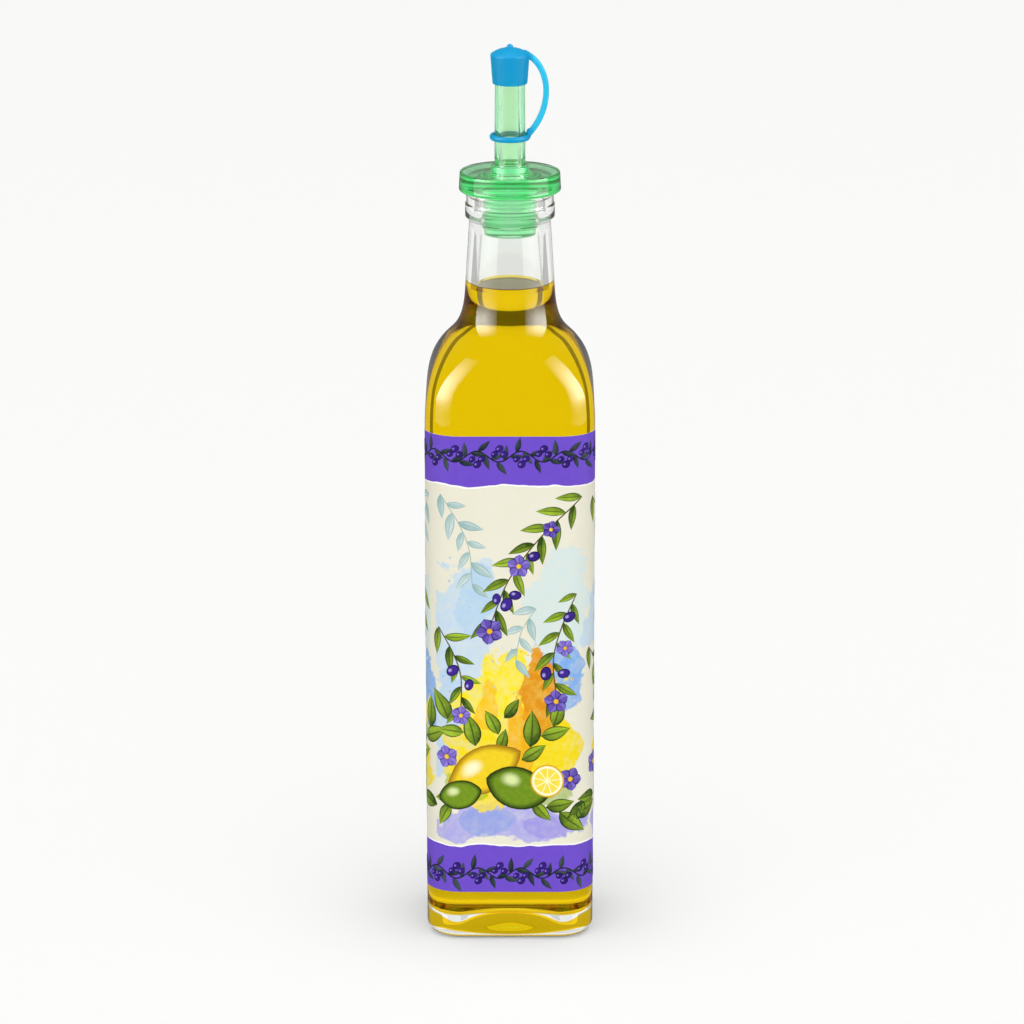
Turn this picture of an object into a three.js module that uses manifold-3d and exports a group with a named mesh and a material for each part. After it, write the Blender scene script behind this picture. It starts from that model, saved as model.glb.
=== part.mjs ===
// A square glass oil bottle for the table: clear glass with a printed wrap, filled with oil to the
// neck, and shut by a one-piece pouring stopper whose spout wears a tethered cap.
// Millimetres, +Z up. The origin is the centre of the base, on the surface the bottle stands on.
// The flat sides face along X and Y, and the cap's strap bows out towards +X.

import * as THREE from "three";
import { mergeVertices } from "three/addons/utils/BufferGeometryUtils.js";
import Module from "manifold-3d";

// Driving dimensions of the glass
const BODY_HALF_BASE = 28.6; // half the width across the flats, just above the heel
const BODY_HALF_TOP = 29.0; // the same at the top of the upright sides
const BODY_CORNER = 12; // radius of the four upright edges
const HEEL = 4.5; // rounding between the sides and the base
const SHOULDER_START = 181; // where the upright sides end
const SHOULDER_PULLS = [[29.0, 196], [25.6, 204.4]]; // half-width and height that bend the dome
const SHOULDER_TURN = [20.8, 209.4]; // where the dome gives way to the hollow sweep
const SWEEP_PULLS = [[18.4, 211.9], [15.7, 215]]; // and what bends the sweep
const SHOULDER_SQUARE = 191; // where the section starts to turn from a rounded square
const SHOULDER_ROUND = 217; // where it has become a circle
const NECK_FOOT = { half: 15.3, z: 225 };
const NECK_TOP = { half: 13.85, z: 248.4 };
const BEAD = { half: 15.25, bottom: 250.2, top: 254.4 };
const LIP = { half: 14.9, bottom: 254.9, top: 258.3, rounding: 0.8 };
const MOUTH_HALF = 9.8; // radius of the bore that takes the stopper
const BODY_WALL = 2.7;
const NECK_WALL = 3.8;
const PUNT_HALF = 19; // where the base lifts off the table
const PUNT_CORNER = 9.5;
const PUNT_RISE = 3.4;
const FLOOR_MIDDLE = 9.7; // the inside floor bulges up over the punt
const FLOOR_SIDE = 7.6; // and has fallen to this height beside the middle of a wall
const INNER_HEEL = 6;
const INNER_HEEL_CORNER = 2; // least corner radius round the inside floor

// Driving dimensions of what the bottle holds and wears
const OIL_LEVEL = 226.2;
const OIL_GAP = 0.3; // clearance to the glass
const WRAP_BOTTOM = 17.4;
const WRAP_TOP = 179.6;
const WRAP_GAP = 0.05;
const WRAP_THICKNESS = 0.2;

// Driving dimensions of the stopper with its spout
const SPOUT_BORE = 3;
const SPOUT_HALF_TOP = 5.05;
const SPOUT_HALF_FOOT = 5.25;
const SPOUT_TOP = 303.4;
const SPOUT_TIP_ROUNDING = 0.6;
const BOSS = { half: 6.45, top: 267.4, rounding: 0.45 };
const FLANGE = { half: 17.1, bottom: 258.6, top: 265.4, rounding: 0.7 };
const FLANGE_BEAD = { half: 17.4, rounding: 0.9 }; // the fuller lower edge of the flange
const FLANGE_LIP = 1.2; // width of the raised edge round the top
const FLANGE_DISH = 0.45; // depth of the top inside that edge
const PLUG_HALF_TOP = 9.2;
const PLUG_HALF_BOTTOM = 8.7;
const PLUG_BOTTOM = 243.7;
const PLUG_CHAMFER = 0.8;
const PLUG_RIBS = [247.2, 251.2, 255.2]; // heights of the sealing ribs
const PLUG_RIB_HALF = 9.5;
const PLUG_RIB_HEIGHT = 1.4;

// Driving dimensions of the cap, its strap and its ring
const CAP = { half: 6.65, bottomHalf: 5.95, bottom: 295.4, rim: 305.6, rounding: 0.5 };
const CAP_BORE = 5.35;
const CAP_CEILING = 304;
const CAP_DOME = 2.2;
const CAP_NUB = { half: 1.2, rise: 1.2 };
const STRAP_THICKNESS = 1.75;
const STRAP_DEPTH = 2.4;
const STRAP_ROUNDING = 0.5;
const STRAP_START = [4.5, 306.1]; // on the dome, as distance from the axis and height
const STRAP_PULLS = [[14.6, 302.4], [15.6, 287]]; // what bows the strap out
const RING = { inner: 5.45, outer: 6.9, height: 1.7, z: 277.1 };
const RING_KNUCKLE = { x: 6.35, z: 278.1, radii: [0.85, 1.4, 1.9] }; // the knot below the strap

// Fineness of the facets
const FLAT_STEPS = 5; // columns across each flat side
const CORNER_STEPS = 6; // columns round each upright edge
const CURVE_STEPS = 8; // rows along each long curve
const FILLET_STEPS = 3;
const ROUND_SIDES = 36;
const RING_SIDES = 10;
const STRAP_STEPS = 20;

const wasm = await Module();
wasm.setup();

const lerp = THREE.MathUtils.lerp;

// The polar angles shared by every section of the glass: few across a flat, more round a corner.
function sectionAngles() {
  const flatHalfAngle = Math.atan((BODY_HALF_TOP - BODY_CORNER) / BODY_HALF_TOP);
  const angles = [];
  for (let side = 0; side < 4; side++) {
    const middle = (side * Math.PI) / 2;
    for (let i = 0; i < FLAT_STEPS; i++)
      angles.push(middle + lerp(-flatHalfAngle, flatHalfAngle, i / FLAT_STEPS));
    for (let i = 0; i < CORNER_STEPS; i++)
      angles.push(middle + lerp(flatHalfAngle, Math.PI / 2 - flatHalfAngle, i / CORNER_STEPS));
  }
  return angles;
}
const ANGLES = sectionAngles();

// How far a rounded square reaches from its centre at one polar angle.
function squareReach(angle, half, corner) {
  const c = Math.abs(Math.cos(angle));
  const s = Math.abs(Math.sin(angle));
  const straight = half / Math.max(c, s);
  if (straight * Math.min(c, s) <= half - corner) return straight;
  const centre = half - corner;
  const along = centre * (c + s);
  return along + Math.sqrt(along * along - 2 * centre * centre + corner * corner);
}

// One closed section of the glass. Height is a number, or a function of the reach from the axis.
function section(half, corner, height) {
  return ANGLES.map((angle) => {
    const reach = squareReach(angle, half, Math.min(corner, half));
    const z = typeof height === "function" ? height(reach) : height;
    return new THREE.Vector3(reach * Math.cos(angle), reach * Math.sin(angle), z);
  });
}

// A skin over sections of equal count, each joined to the next. A single point closes an end,
// and a loop joins the last section to the first.
function skin(sections, loop = false) {
  const positions = [];
  const starts = sections.map((points) => {
    const start = positions.length / 3;
    for (const p of [points].flat()) positions.push(p.x, p.y, p.z);
    return start;
  });
  const index = [];
  const count = ANGLES.length;
  const joins = loop ? sections.length : sections.length - 1;
  for (let i = 0; i < joins; i++) {
    const k = (i + 1) % sections.length;
    const at = (section, j) =>
      starts[section] + (Array.isArray(sections[section]) ? j % count : 0);
    for (let j = 0; j < count; j++) {
      if (Array.isArray(sections[i])) index.push(at(i, j), at(i, j + 1), at(k, j + 1));
      if (Array.isArray(sections[k])) index.push(at(i, j), at(k, j + 1), at(k, j));
    }
  }
  const geometry = new THREE.BufferGeometry();
  geometry.setAttribute("position", new THREE.Float32BufferAttribute(positions, 3));
  geometry.setIndex(index);
  geometry.computeVertexNormals();
  return geometry;
}

// Points of an arc about a centre, from one angle to another in degrees, both ends included.
function arc(cx, cy, radius, from, to, steps) {
  return Array.from({ length: steps + 1 }, (_, i) => {
    const angle = THREE.MathUtils.degToRad(lerp(from, to, i / steps));
    return new THREE.Vector2(cx + radius * Math.cos(angle), cy + radius * Math.sin(angle));
  });
}

const v2 = (x, y) => new THREE.Vector2(x, y);

// A bent line through two ends and two pulls, as points.
function bend(points, steps) {
  return new THREE.CubicBezierCurve(...points.map(([x, y]) => v2(x, y))).getPoints(steps);
}

// The outside of the shoulder as seen from the front: a dome, then a hollow sweep into the neck.
function shoulderOutline() {
  const foot = [BODY_HALF_TOP, SHOULDER_START];
  const neck = [NECK_FOOT.half, NECK_FOOT.z];
  const dome = bend([foot, ...SHOULDER_PULLS, SHOULDER_TURN], CURVE_STEPS);
  const sweep = bend([SHOULDER_TURN, ...SWEEP_PULLS, neck], CURVE_STEPS - 2);
  return [...dome, ...sweep.slice(1)];
}

// The share of a section's half-width that its corner rounding takes: a square below the shoulder,
// a circle above it.
function roundness(z) {
  const square = BODY_CORNER / BODY_HALF_TOP;
  return lerp(square, 1, THREE.MathUtils.smoothstep(z, SHOULDER_SQUARE, SHOULDER_ROUND));
}

const outerSection = ({ x, y }) => section(x, roundness(y) * x, y);

// The wall thickens from the body to the neck.
function wallAt(z) {
  return lerp(BODY_WALL, NECK_WALL, THREE.MathUtils.smoothstep(z, SHOULDER_START, NECK_FOOT.z));
}

// A section of the inside wall, held in from the outside by the wall and by an extra gap.
function innerSection({ x, y }, gap) {
  const wall = wallAt(y) + gap;
  return section(x - wall, roundness(y) * x - wall, y);
}

// The half-width of the upright sides, which widen a little towards the shoulder.
function bodyHalf(z) {
  return lerp(BODY_HALF_BASE, BODY_HALF_TOP, (z - HEEL) / (SHOULDER_START - HEEL));
}

// The inside floor: a low dome over the punt.
function floorHeight(reach) {
  const side = BODY_HALF_BASE - BODY_WALL;
  return FLOOR_MIDDLE - (FLOOR_MIDDLE - FLOOR_SIDE) * (reach / side) ** 2;
}

// The inside of the glass from the floor up to the neck's foot, as sections.
function insideSections(gap) {
  const sections = [new THREE.Vector3(0, 0, floorHeight(0) + gap)];
  const side = bodyHalf(FLOOR_SIDE) - BODY_WALL - gap;
  const corner = BODY_CORNER - BODY_WALL - gap;
  const flatHalf = side - INNER_HEEL;
  for (const share of [0.4, 0.75, 1]) {
    const half = flatHalf * share;
    const rounding = lerp(half, Math.max(corner - INNER_HEEL, INNER_HEEL_CORNER), share);
    sections.push(section(half, rounding, (reach) => floorHeight(reach) + gap));
  }
  for (let i = 1; i <= FILLET_STEPS; i++) {
    const turn = ((Math.PI / 2) * i) / FILLET_STEPS;
    const half = flatHalf + INNER_HEEL * Math.sin(turn);
    const lift = INNER_HEEL * (1 - Math.cos(turn));
    const rounding = Math.max(corner - INNER_HEEL * (1 - Math.sin(turn)), INNER_HEEL_CORNER);
    sections.push(section(half, rounding, (reach) => floorHeight(reach) + gap + lift));
  }
  for (const point of shoulderOutline()) sections.push(innerSection(point, gap));
  return sections;
}

// The bottle: up the outside from the punt to the lip, over it, and down the inside to the floor.
function bottleGeometry() {
  const sections = [new THREE.Vector3(0, 0, PUNT_RISE)];
  for (const share of [0.5, 0.85, 1]) {
    const half = PUNT_HALF * share;
    const rounding = lerp(half, PUNT_CORNER, share);
    sections.push(section(half, rounding, PUNT_RISE * (1 - share ** 2)));
  }
  for (let i = 0; i <= FILLET_STEPS; i++) {
    const turn = ((Math.PI / 2) * i) / FILLET_STEPS;
    const inset = HEEL * (1 - Math.sin(turn));
    sections.push(section(BODY_HALF_BASE - inset, BODY_CORNER - inset, HEEL * (1 - Math.cos(turn))));
  }
  for (const point of shoulderOutline()) sections.push(outerSection(point));
  const rim = [
    v2(NECK_TOP.half, NECK_TOP.z),
    v2(lerp(NECK_TOP.half, BEAD.half, 0.55), lerp(NECK_TOP.z, BEAD.bottom, 0.3)),
    v2(BEAD.half, BEAD.bottom),
    v2(BEAD.half, BEAD.top),
    v2(LIP.half, LIP.bottom),
    ...arc(LIP.half - LIP.rounding, LIP.top - LIP.rounding, LIP.rounding, 0, 90, FILLET_STEPS),
    ...arc(MOUTH_HALF + LIP.rounding, LIP.top - LIP.rounding, LIP.rounding, 90, 180, FILLET_STEPS),
    v2(MOUTH_HALF, NECK_TOP.z),
  ];
  for (const { x, y } of rim) sections.push(section(x, x, y));
  return skin([...sections, ...insideSections(0).reverse()]);
}

// The oil: the inside of the bottle up to its level in the neck.
function oilGeometry() {
  const inside = insideSections(OIL_GAP);
  const share = (OIL_LEVEL - NECK_FOOT.z) / (NECK_TOP.z - NECK_FOOT.z);
  const neckHalf = lerp(NECK_FOOT.half - NECK_WALL, MOUTH_HALF, share);
  const surface = section(neckHalf - OIL_GAP, neckHalf - OIL_GAP, OIL_LEVEL);
  return skin([...inside, surface, new THREE.Vector3(0, 0, OIL_LEVEL)]);
}

// The printed wrap: a thin sleeve round the upright sides.
function wrapGeometry() {
  const edge = (z, offset) => section(bodyHalf(z) + offset, BODY_CORNER + offset, z);
  const outside = WRAP_GAP + WRAP_THICKNESS;
  return skin(
    [
      edge(WRAP_BOTTOM, outside),
      edge(WRAP_TOP, outside),
      edge(WRAP_TOP, WRAP_GAP),
      edge(WRAP_BOTTOM, WRAP_GAP),
    ],
    true,
  );
}

// A turned solid standing on +Z. The outline is radius against height.
function turned(outline) {
  return new THREE.LatheGeometry(outline, ROUND_SIDES).rotateX(Math.PI / 2);
}

// The side of the plug, from the bottom up, with a sealing rib at each height.
function plugSide() {
  const side = (z) =>
    lerp(PLUG_HALF_BOTTOM, PLUG_HALF_TOP, (z - PLUG_BOTTOM) / (FLANGE.bottom - PLUG_BOTTOM));
  const half = PLUG_RIB_HEIGHT / 2;
  return PLUG_RIBS.flatMap((z) => [
    v2(side(z - half), z - half),
    v2(PLUG_RIB_HALF, z - half / 3),
    v2(PLUG_RIB_HALF, z + half / 3),
    v2(side(z + half), z + half),
  ]);
}

// The stopper: plug, flange, boss and spout in one moulding, with the bore right through it.
function stopperGeometry() {
  const { half, bottom, top, rounding } = FLANGE;
  const bead = FLANGE_BEAD;
  const dish = top - FLANGE_DISH;
  const tip = SPOUT_TIP_ROUNDING;
  const outline = [
    v2(SPOUT_BORE, PLUG_BOTTOM),
    v2(PLUG_HALF_BOTTOM - PLUG_CHAMFER, PLUG_BOTTOM),
    v2(PLUG_HALF_BOTTOM, PLUG_BOTTOM + PLUG_CHAMFER),
    ...plugSide(),
    v2(PLUG_HALF_TOP, bottom),
    ...arc(bead.half - bead.rounding, bottom + bead.rounding, bead.rounding, -90, 20, FILLET_STEPS),
    ...arc(half - rounding, top - rounding, rounding, 0, 100, FILLET_STEPS),
    v2(half - FLANGE_LIP, dish),
    v2(BOSS.half, dish),
    ...arc(BOSS.half - BOSS.rounding, BOSS.top - BOSS.rounding, BOSS.rounding, 0, 90, 2),
    v2(SPOUT_HALF_FOOT, BOSS.top),
    ...arc(SPOUT_HALF_TOP - tip, SPOUT_TOP - tip, tip, 0, 90, 2),
    v2(SPOUT_BORE, SPOUT_TOP),
    v2(SPOUT_BORE, PLUG_BOTTOM),
  ];
  return turned(outline);
}

// The cap alone: a tapered thimble with a low dome and a moulding nub on top.
function capShell() {
  const { half, bottomHalf, bottom, rim, rounding } = CAP;
  const domeRadius = (half * half + CAP_DOME * CAP_DOME) / (2 * CAP_DOME);
  const domeCentre = rim + CAP_DOME - domeRadius;
  const degreesAt = (x) => THREE.MathUtils.radToDeg(Math.acos(x / domeRadius));
  const outline = [
    v2(0, CAP_CEILING),
    v2(CAP_BORE, CAP_CEILING),
    v2(CAP_BORE, bottom),
    ...arc(bottomHalf - rounding, bottom + rounding, rounding, -70, 0, 2),
    v2(half, rim - rounding),
    ...arc(0, domeCentre, domeRadius, degreesAt(half * 0.97), degreesAt(CAP_NUB.half), 5),
    v2(CAP_NUB.half * 0.8, rim + CAP_DOME + CAP_NUB.rise * 0.6),
    v2(CAP_NUB.half * 0.45, rim + CAP_DOME + CAP_NUB.rise * 0.95),
    v2(0, rim + CAP_DOME + CAP_NUB.rise),
  ];
  return turned(outline);
}

// The loose ring round the spout, an oval in section.
function ringGeometry() {
  const middle = (RING.inner + RING.outer) / 2;
  const outline = Array.from({ length: RING_SIDES + 1 }, (_, i) => {
    const angle = (i / RING_SIDES) * 2 * Math.PI;
    const out = ((RING.outer - RING.inner) / 2) * Math.cos(angle);
    return v2(middle + out, RING.z + (RING.height / 2) * Math.sin(angle));
  });
  return turned(outline);
}

// The strap: a rounded band bowed out from the cap's dome, round and down to the ring.
function strapGeometry() {
  const end = [RING_KNUCKLE.x, RING_KNUCKLE.z];
  const bow = [STRAP_START, ...STRAP_PULLS, end].map(([x, z]) => new THREE.Vector3(x, 0, z));
  const path = new THREE.CubicBezierCurve3(...bow);
  const x = STRAP_DEPTH / 2;
  const y = STRAP_THICKNESS / 2;
  const r = STRAP_ROUNDING;
  const band = new THREE.Shape([
    ...arc(x - r, y - r, r, 0, 90, 2),
    ...arc(r - x, y - r, r, 90, 180, 2),
    ...arc(r - x, r - y, r, 180, 270, 2),
    ...arc(x - r, r - y, r, 270, 360, 2),
  ]);
  return new THREE.ExtrudeGeometry(band, { steps: STRAP_STEPS, extrudePath: path });
}

// The knot where the strap grows out of the ring.
function knuckleGeometry() {
  const { x, z, radii } = RING_KNUCKLE;
  return new THREE.SphereGeometry(1, 12, 8).scale(...radii).translate(x, 0, z);
}

// A closed geometry as a solid that can be joined to another.
function toSolid(geometry) {
  const bare = geometry.clone();
  bare.deleteAttribute("normal");
  bare.deleteAttribute("uv");
  const merged = mergeVertices(bare, 1e-3);
  return new wasm.Manifold(
    new wasm.Mesh({
      numProp: 3,
      vertProperties: merged.attributes.position.array,
      triVerts: new Uint32Array(merged.index.array),
    }),
  );
}

function toGeometry(solid) {
  const { vertProperties, triVerts } = solid.getMesh();
  const geometry = new THREE.BufferGeometry();
  geometry.setAttribute("position", new THREE.BufferAttribute(vertProperties, 3));
  geometry.setIndex(new THREE.BufferAttribute(triVerts, 1));
  geometry.computeVertexNormals();
  return geometry;
}

// The cap, its strap and its ring are one soft moulding.
function capGeometry() {
  const pieces = [capShell(), strapGeometry(), ringGeometry(), knuckleGeometry()];
  const [cap, ...others] = pieces.map(toSolid);
  return toGeometry(others.reduce((whole, piece) => whole.add(piece), cap));
}

const GLASS = new THREE.MeshStandardMaterial({
  color: 0xeef3f0,
  roughness: 0.03,
  metalness: 0,
  transparent: true,
  opacity: 0.35,
});
const OIL = new THREE.MeshStandardMaterial({ color: 0xdeba02, roughness: 0.05, metalness: 0 });
const PRINT = new THREE.MeshStandardMaterial({ color: 0xefecdc, roughness: 0.4, metalness: 0 });
const GREEN_PLASTIC = new THREE.MeshStandardMaterial({
  color: 0x5fdc8c,
  roughness: 0.12,
  metalness: 0,
  transparent: true,
  opacity: 0.75,
});
const BLUE_PLASTIC = new THREE.MeshStandardMaterial({ color: 0x12aee0, roughness: 0.35, metalness: 0 });

function named(name, geometry, material) {
  const mesh = new THREE.Mesh(geometry, material);
  mesh.name = name;
  return mesh;
}

const oilBottle = new THREE.Group();
oilBottle.add(
  named("bottle", bottleGeometry(), GLASS),
  named("oil", oilGeometry(), OIL),
  named("print_wrap", wrapGeometry(), PRINT),
  named("pourer", stopperGeometry(), GREEN_PLASTIC),
  named("cap", capGeometry(), BLUE_PLASTIC),
);

export default oilBottle;
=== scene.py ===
import math
from functools import partial

import bpy
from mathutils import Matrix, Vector


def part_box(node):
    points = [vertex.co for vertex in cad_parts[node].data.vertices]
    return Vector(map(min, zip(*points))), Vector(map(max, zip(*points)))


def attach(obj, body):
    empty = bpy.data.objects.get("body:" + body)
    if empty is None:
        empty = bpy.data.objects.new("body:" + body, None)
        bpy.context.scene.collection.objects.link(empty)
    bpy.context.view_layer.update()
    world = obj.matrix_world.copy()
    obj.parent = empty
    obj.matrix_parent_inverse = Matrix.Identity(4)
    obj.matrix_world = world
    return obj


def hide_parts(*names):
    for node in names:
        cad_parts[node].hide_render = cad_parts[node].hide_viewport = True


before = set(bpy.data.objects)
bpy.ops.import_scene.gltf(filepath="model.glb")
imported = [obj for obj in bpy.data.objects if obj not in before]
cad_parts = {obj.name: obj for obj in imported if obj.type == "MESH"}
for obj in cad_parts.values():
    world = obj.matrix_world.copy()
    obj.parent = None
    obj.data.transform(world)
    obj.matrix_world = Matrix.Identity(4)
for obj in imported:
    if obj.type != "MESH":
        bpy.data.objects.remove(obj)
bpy.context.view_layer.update()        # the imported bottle: frame["nodes"] holds glass, oil, wrap, pourer and cap
scene = bpy.context.scene
mm = 0.001


# small helpers

def toLinear(hexText):
    # sRGB hex to the linear colour that the shaders want
    parts = [int(hexText[i:i + 2], 16) / 255 for i in (0, 2, 4)]
    return tuple(p / 12.92 if p <= 0.04045 else ((p + 0.055) / 1.055) ** 2.4 for p in parts) + (1.0,)


def addNode(tree, kind, inputs=(), **settings):
    # kind is Blender's name for the node without its family, then its operation if it has one;
    # an input is a value, a socket, a node (its first live output) or a list of those
    kind, *operation = kind.split()
    families = ("ShaderNode", "GeometryNode", "FunctionNode", "Node")
    node = tree.nodes.new(next(family + kind for family in families if hasattr(bpy.types, family + kind)))
    if operation:
        node.operation = operation[0]
    for name, value in settings.items():
        setattr(node, name, value)
    pairs = inputs.items() if isinstance(inputs, dict) else enumerate(inputs)
    for key, value in pairs:
        for item in value if isinstance(value, list) else [value]:
            if isinstance(item, bpy.types.Node):
                item = next(socket for socket in item.outputs if socket.enabled)
            if isinstance(item, bpy.types.NodeSocket):
                tree.links.new(item, node.inputs[key])
            else:
                node.inputs[key].default_value = item
    return node


def newMaterial(name):
    # an empty material, and addNode for its tree
    material = bpy.data.materials.new(name)
    material.use_nodes = True
    material.node_tree.nodes.clear()
    return material, partial(addNode, material.node_tree)


def newShapeTree(name, **inputs):
    # an empty Geometry Nodes tree with named inputs, addNode for it, and what it is given
    kinds = {int: "NodeSocketInt", float: "NodeSocketFloat", type(None): "NodeSocketMaterial"}
    tree = bpy.data.node_groups.new(name, "GeometryNodeTree")
    tree.interface.new_socket("Geometry", in_out="INPUT", socket_type="NodeSocketGeometry")
    for label, value in inputs.items():
        socket = tree.interface.new_socket(label, in_out="INPUT", socket_type=kinds[type(value)])
        if value is not None:
            socket.default_value = value
    tree.interface.new_socket("Geometry", in_out="OUTPUT", socket_type="NodeSocketGeometry")
    add = partial(addNode, tree)
    return tree, add, add("GroupInput").outputs


def closeTree(add, shape, material):
    # every tree ends the same way: real mesh, its material, out
    real = add("RealizeInstances", [shape])
    painted = add("SetMaterial", {"Geometry": real, "Material": material})
    add("GroupOutput", [painted])


def runTree(obj, tree, **values):
    # evaluates the tree on an object and keeps the result as its plain mesh
    modifier = obj.modifiers.new(tree.name, "NODES")
    modifier.node_group = tree
    for item in tree.interface.items_tree:
        if item.in_out == "INPUT" and item.name in values:
            modifier[item.identifier] = values[item.name]
    evaluated = obj.evaluated_get(bpy.context.evaluated_depsgraph_get())
    mesh = bpy.data.meshes.new_from_object(evaluated)
    obj.modifiers.remove(modifier)
    obj.data = mesh
    mesh.name = obj.name
    return obj


def newObject(name, verts, edges=(), faces=()):
    mesh = bpy.data.meshes.new(name)
    mesh.from_pydata(verts, edges, faces)
    obj = bpy.data.objects.new(name, mesh)
    scene.collection.objects.link(obj)
    return obj


def keepOn(obj, name, domain, values):
    # a number for each point or face, which trees and materials read by its name
    obj.data.attributes.new(name, "FLOAT", domain).data.foreach_set("value", values)


def mix(a, b, t):
    return a + (b - a) * t


def smoothStep(x, low, high):
    t = min(max((x - low) / (high - low), 0), 1)
    return t * t * (3 - 2 * t)


def bend(points, steps):
    # cubic Bezier through two ends and two pulls
    curve = []
    for i in range(steps + 1):
        t = i / steps
        weights = ((1 - t) ** 3, 3 * (1 - t) ** 2 * t, 3 * (1 - t) * t * t, t ** 3)
        curve.append(tuple(sum(w * p[k] for w, p in zip(weights, points)) for k in (0, 1)))
    return curve


def arc(x, y, radius, start, end, steps):
    angles = [math.radians(mix(start, end, i / steps)) for i in range(steps + 1)]
    return [(x + radius * math.cos(a), y + radius * math.sin(a)) for a in angles]


def fillRows(rows, longest):
    # splits long stretches of a profile, so that smooth shading stays true beside tight curves
    full = [rows[0]]
    for row in rows[1:]:
        last = full[-1]
        parts = max(1, math.ceil(math.dist(last[:3], row[:3]) / longest))
        full += [tuple(mix(a, b, i / parts) for a, b in zip(last, row)) for i in range(1, parts + 1)]
    return full


# the skin that makes the glass, the oil and every turned piece

def squareSkinTree():
    # rows of half-width, corner radius and height become rounded squares, or circles where the two agree
    tree, add, given = newShapeTree("squareSkin", Columns=160, Material=None)
    profile, columns = given["Geometry"], given["Columns"]
    rows = add("AttributeDomainSize", [profile], component="MESH")
    grid = add("MeshGrid", {"Vertices X": add("Math ADD", [columns, 1.0]), "Vertices Y": rows})
    index = add("InputIndex")
    column = add("Math FLOOR", [add("Math DIVIDE", [index, rows])])
    row = add("Math MODULO", [index, rows])
    size = add("SampleIndex", {"Geometry": profile, "Value": add("InputPosition"), "Index": row},
               data_type="FLOAT_VECTOR")
    half, corner, height = add("SeparateXYZ", [size]).outputs
    sag = add("InputNamedAttribute", {"Name": "sag"}, data_type="FLOAT")
    sag = add("SampleIndex", {"Geometry": profile, "Value": sag, "Index": row}, data_type="FLOAT")
    turn = add("Math MULTIPLY", [add("Math DIVIDE", [column, columns]), 2 * math.pi])
    cosine, sine = add("Math COSINE", [turn]), add("Math SINE", [turn])
    c, s = add("Math ABSOLUTE", [cosine]), add("Math ABSOLUTE", [sine])
    # how far out the side lies in this direction
    straight = add("Math DIVIDE", [half, add("Math MAXIMUM", [c, s])])
    aside = add("Math MULTIPLY", [straight, add("Math MINIMUM", [c, s])])
    centre = add("Math SUBTRACT", [half, corner])
    onFlat = add("Math LESS_THAN", [aside, centre])
    # and how far the rounded edge, a circle about (centre, centre)
    along = add("Math MULTIPLY", [centre, add("Math ADD", [c, s])])
    root = add("Math MULTIPLY", [along, along])
    root = add("Math MULTIPLY_ADD", [add("Math MULTIPLY", [centre, centre]), -2.0, root])
    root = add("Math MULTIPLY_ADD", [corner, corner, root])
    root = add("Math SQRT", [add("Math MAXIMUM", [root, 0.0])])
    rounded = add("Math ADD", [along, root])
    reach = add("Math MULTIPLY_ADD", [onFlat, add("Math SUBTRACT", [straight, rounded]), rounded])
    drop = add("Math MULTIPLY", [add("Math MULTIPLY", [reach, reach]), sag])
    spot = add("CombineXYZ", [add("Math MULTIPLY", [reach, cosine]), add("Math MULTIPLY", [reach, sine]),
                              add("Math SUBTRACT", [height, drop])])
    skin = add("SetPosition", {"Geometry": grid, "Position": spot})
    skin = add("MergeByDistance", {"Geometry": skin, "Distance": 1e-6})
    skin = add("SetShadeSmooth", [skin])
    closeTree(add, skin, given["Material"])
    return tree


squareSkin = squareSkinTree()


def skinOver(name, rows, columns, material):
    # rows are (half, corner, height, sag) in millimetres
    obj = newObject(name, [(h * mm, c * mm, z * mm) for h, c, z, _ in rows])
    keepOn(obj, "sag", "POINT", [row[3] / mm for row in rows])
    return runTree(obj, squareSkin, Columns=columns, Material=material)


def turned(name, outline, columns, material):
    # outline is (radius, height) in millimetres
    rows = fillRows([(r, r, z, 0) for r, z in outline], 3.0)
    return skinOver(name, rows, columns, material)


# materials of the glass and the plastics

def wetted(add, dry, colour=toLinear("ffffff")):
    # the dry surface, or a wall that passes light straight on where oil wets it
    wall = add("BsdfPrincipled", {"Base Color": colour, "Roughness": 0.0, "IOR": 1.0,
                                  "Transmission Weight": 1.0})
    return add("MixShader", [add("Attribute", attribute_name="wet").outputs["Fac"], dry, wall])


def sodaGlass():
    # soda-lime glass, blown in a mould: clear, hard gloss, faint waves
    material, add = newMaterial("sodaLimeGlass")
    place = add("TexCoord").outputs["Object"]
    waves = add("TexNoise", {"Vector": place, "Scale": 1 / (14 * mm), "Detail": 1.0})
    bump = add("Bump", {"Strength": 0.05, "Distance": 0.4 * mm, "Height": waves})
    dry = add("BsdfPrincipled", {"Base Color": toLinear("f8faf7"), "Roughness": 0.0, "IOR": 1.5,
                                 "Transmission Weight": 1.0, "Normal": bump})
    add("OutputMaterial", [wetted(add, dry)])
    return material


def goldenOil():
    # filtered table oil: clear liquid, colour deepens with the depth that light crosses
    material, add = newMaterial("goldenOil")
    surface = add("BsdfPrincipled", {"Base Color": toLinear("ffffff"), "Roughness": 0.0, "IOR": 1.47,
                                     "Transmission Weight": 1.0})
    # behind the wrap the wall is left clear, or light that rebounds there many times would turn brown
    bare = add("Attribute", attribute_name="bare").outputs["Fac"]
    gold = add("Mix", {"Factor": bare, "A": toLinear("ffffff"), "B": toLinear("ffd427")}, data_type="RGBA")
    depth = add("VolumeAbsorption", {"Color": toLinear("fafb00"), "Density": 54.0})
    add("OutputMaterial", {"Surface": wetted(add, surface, gold), "Volume": depth})
    return material


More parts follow.
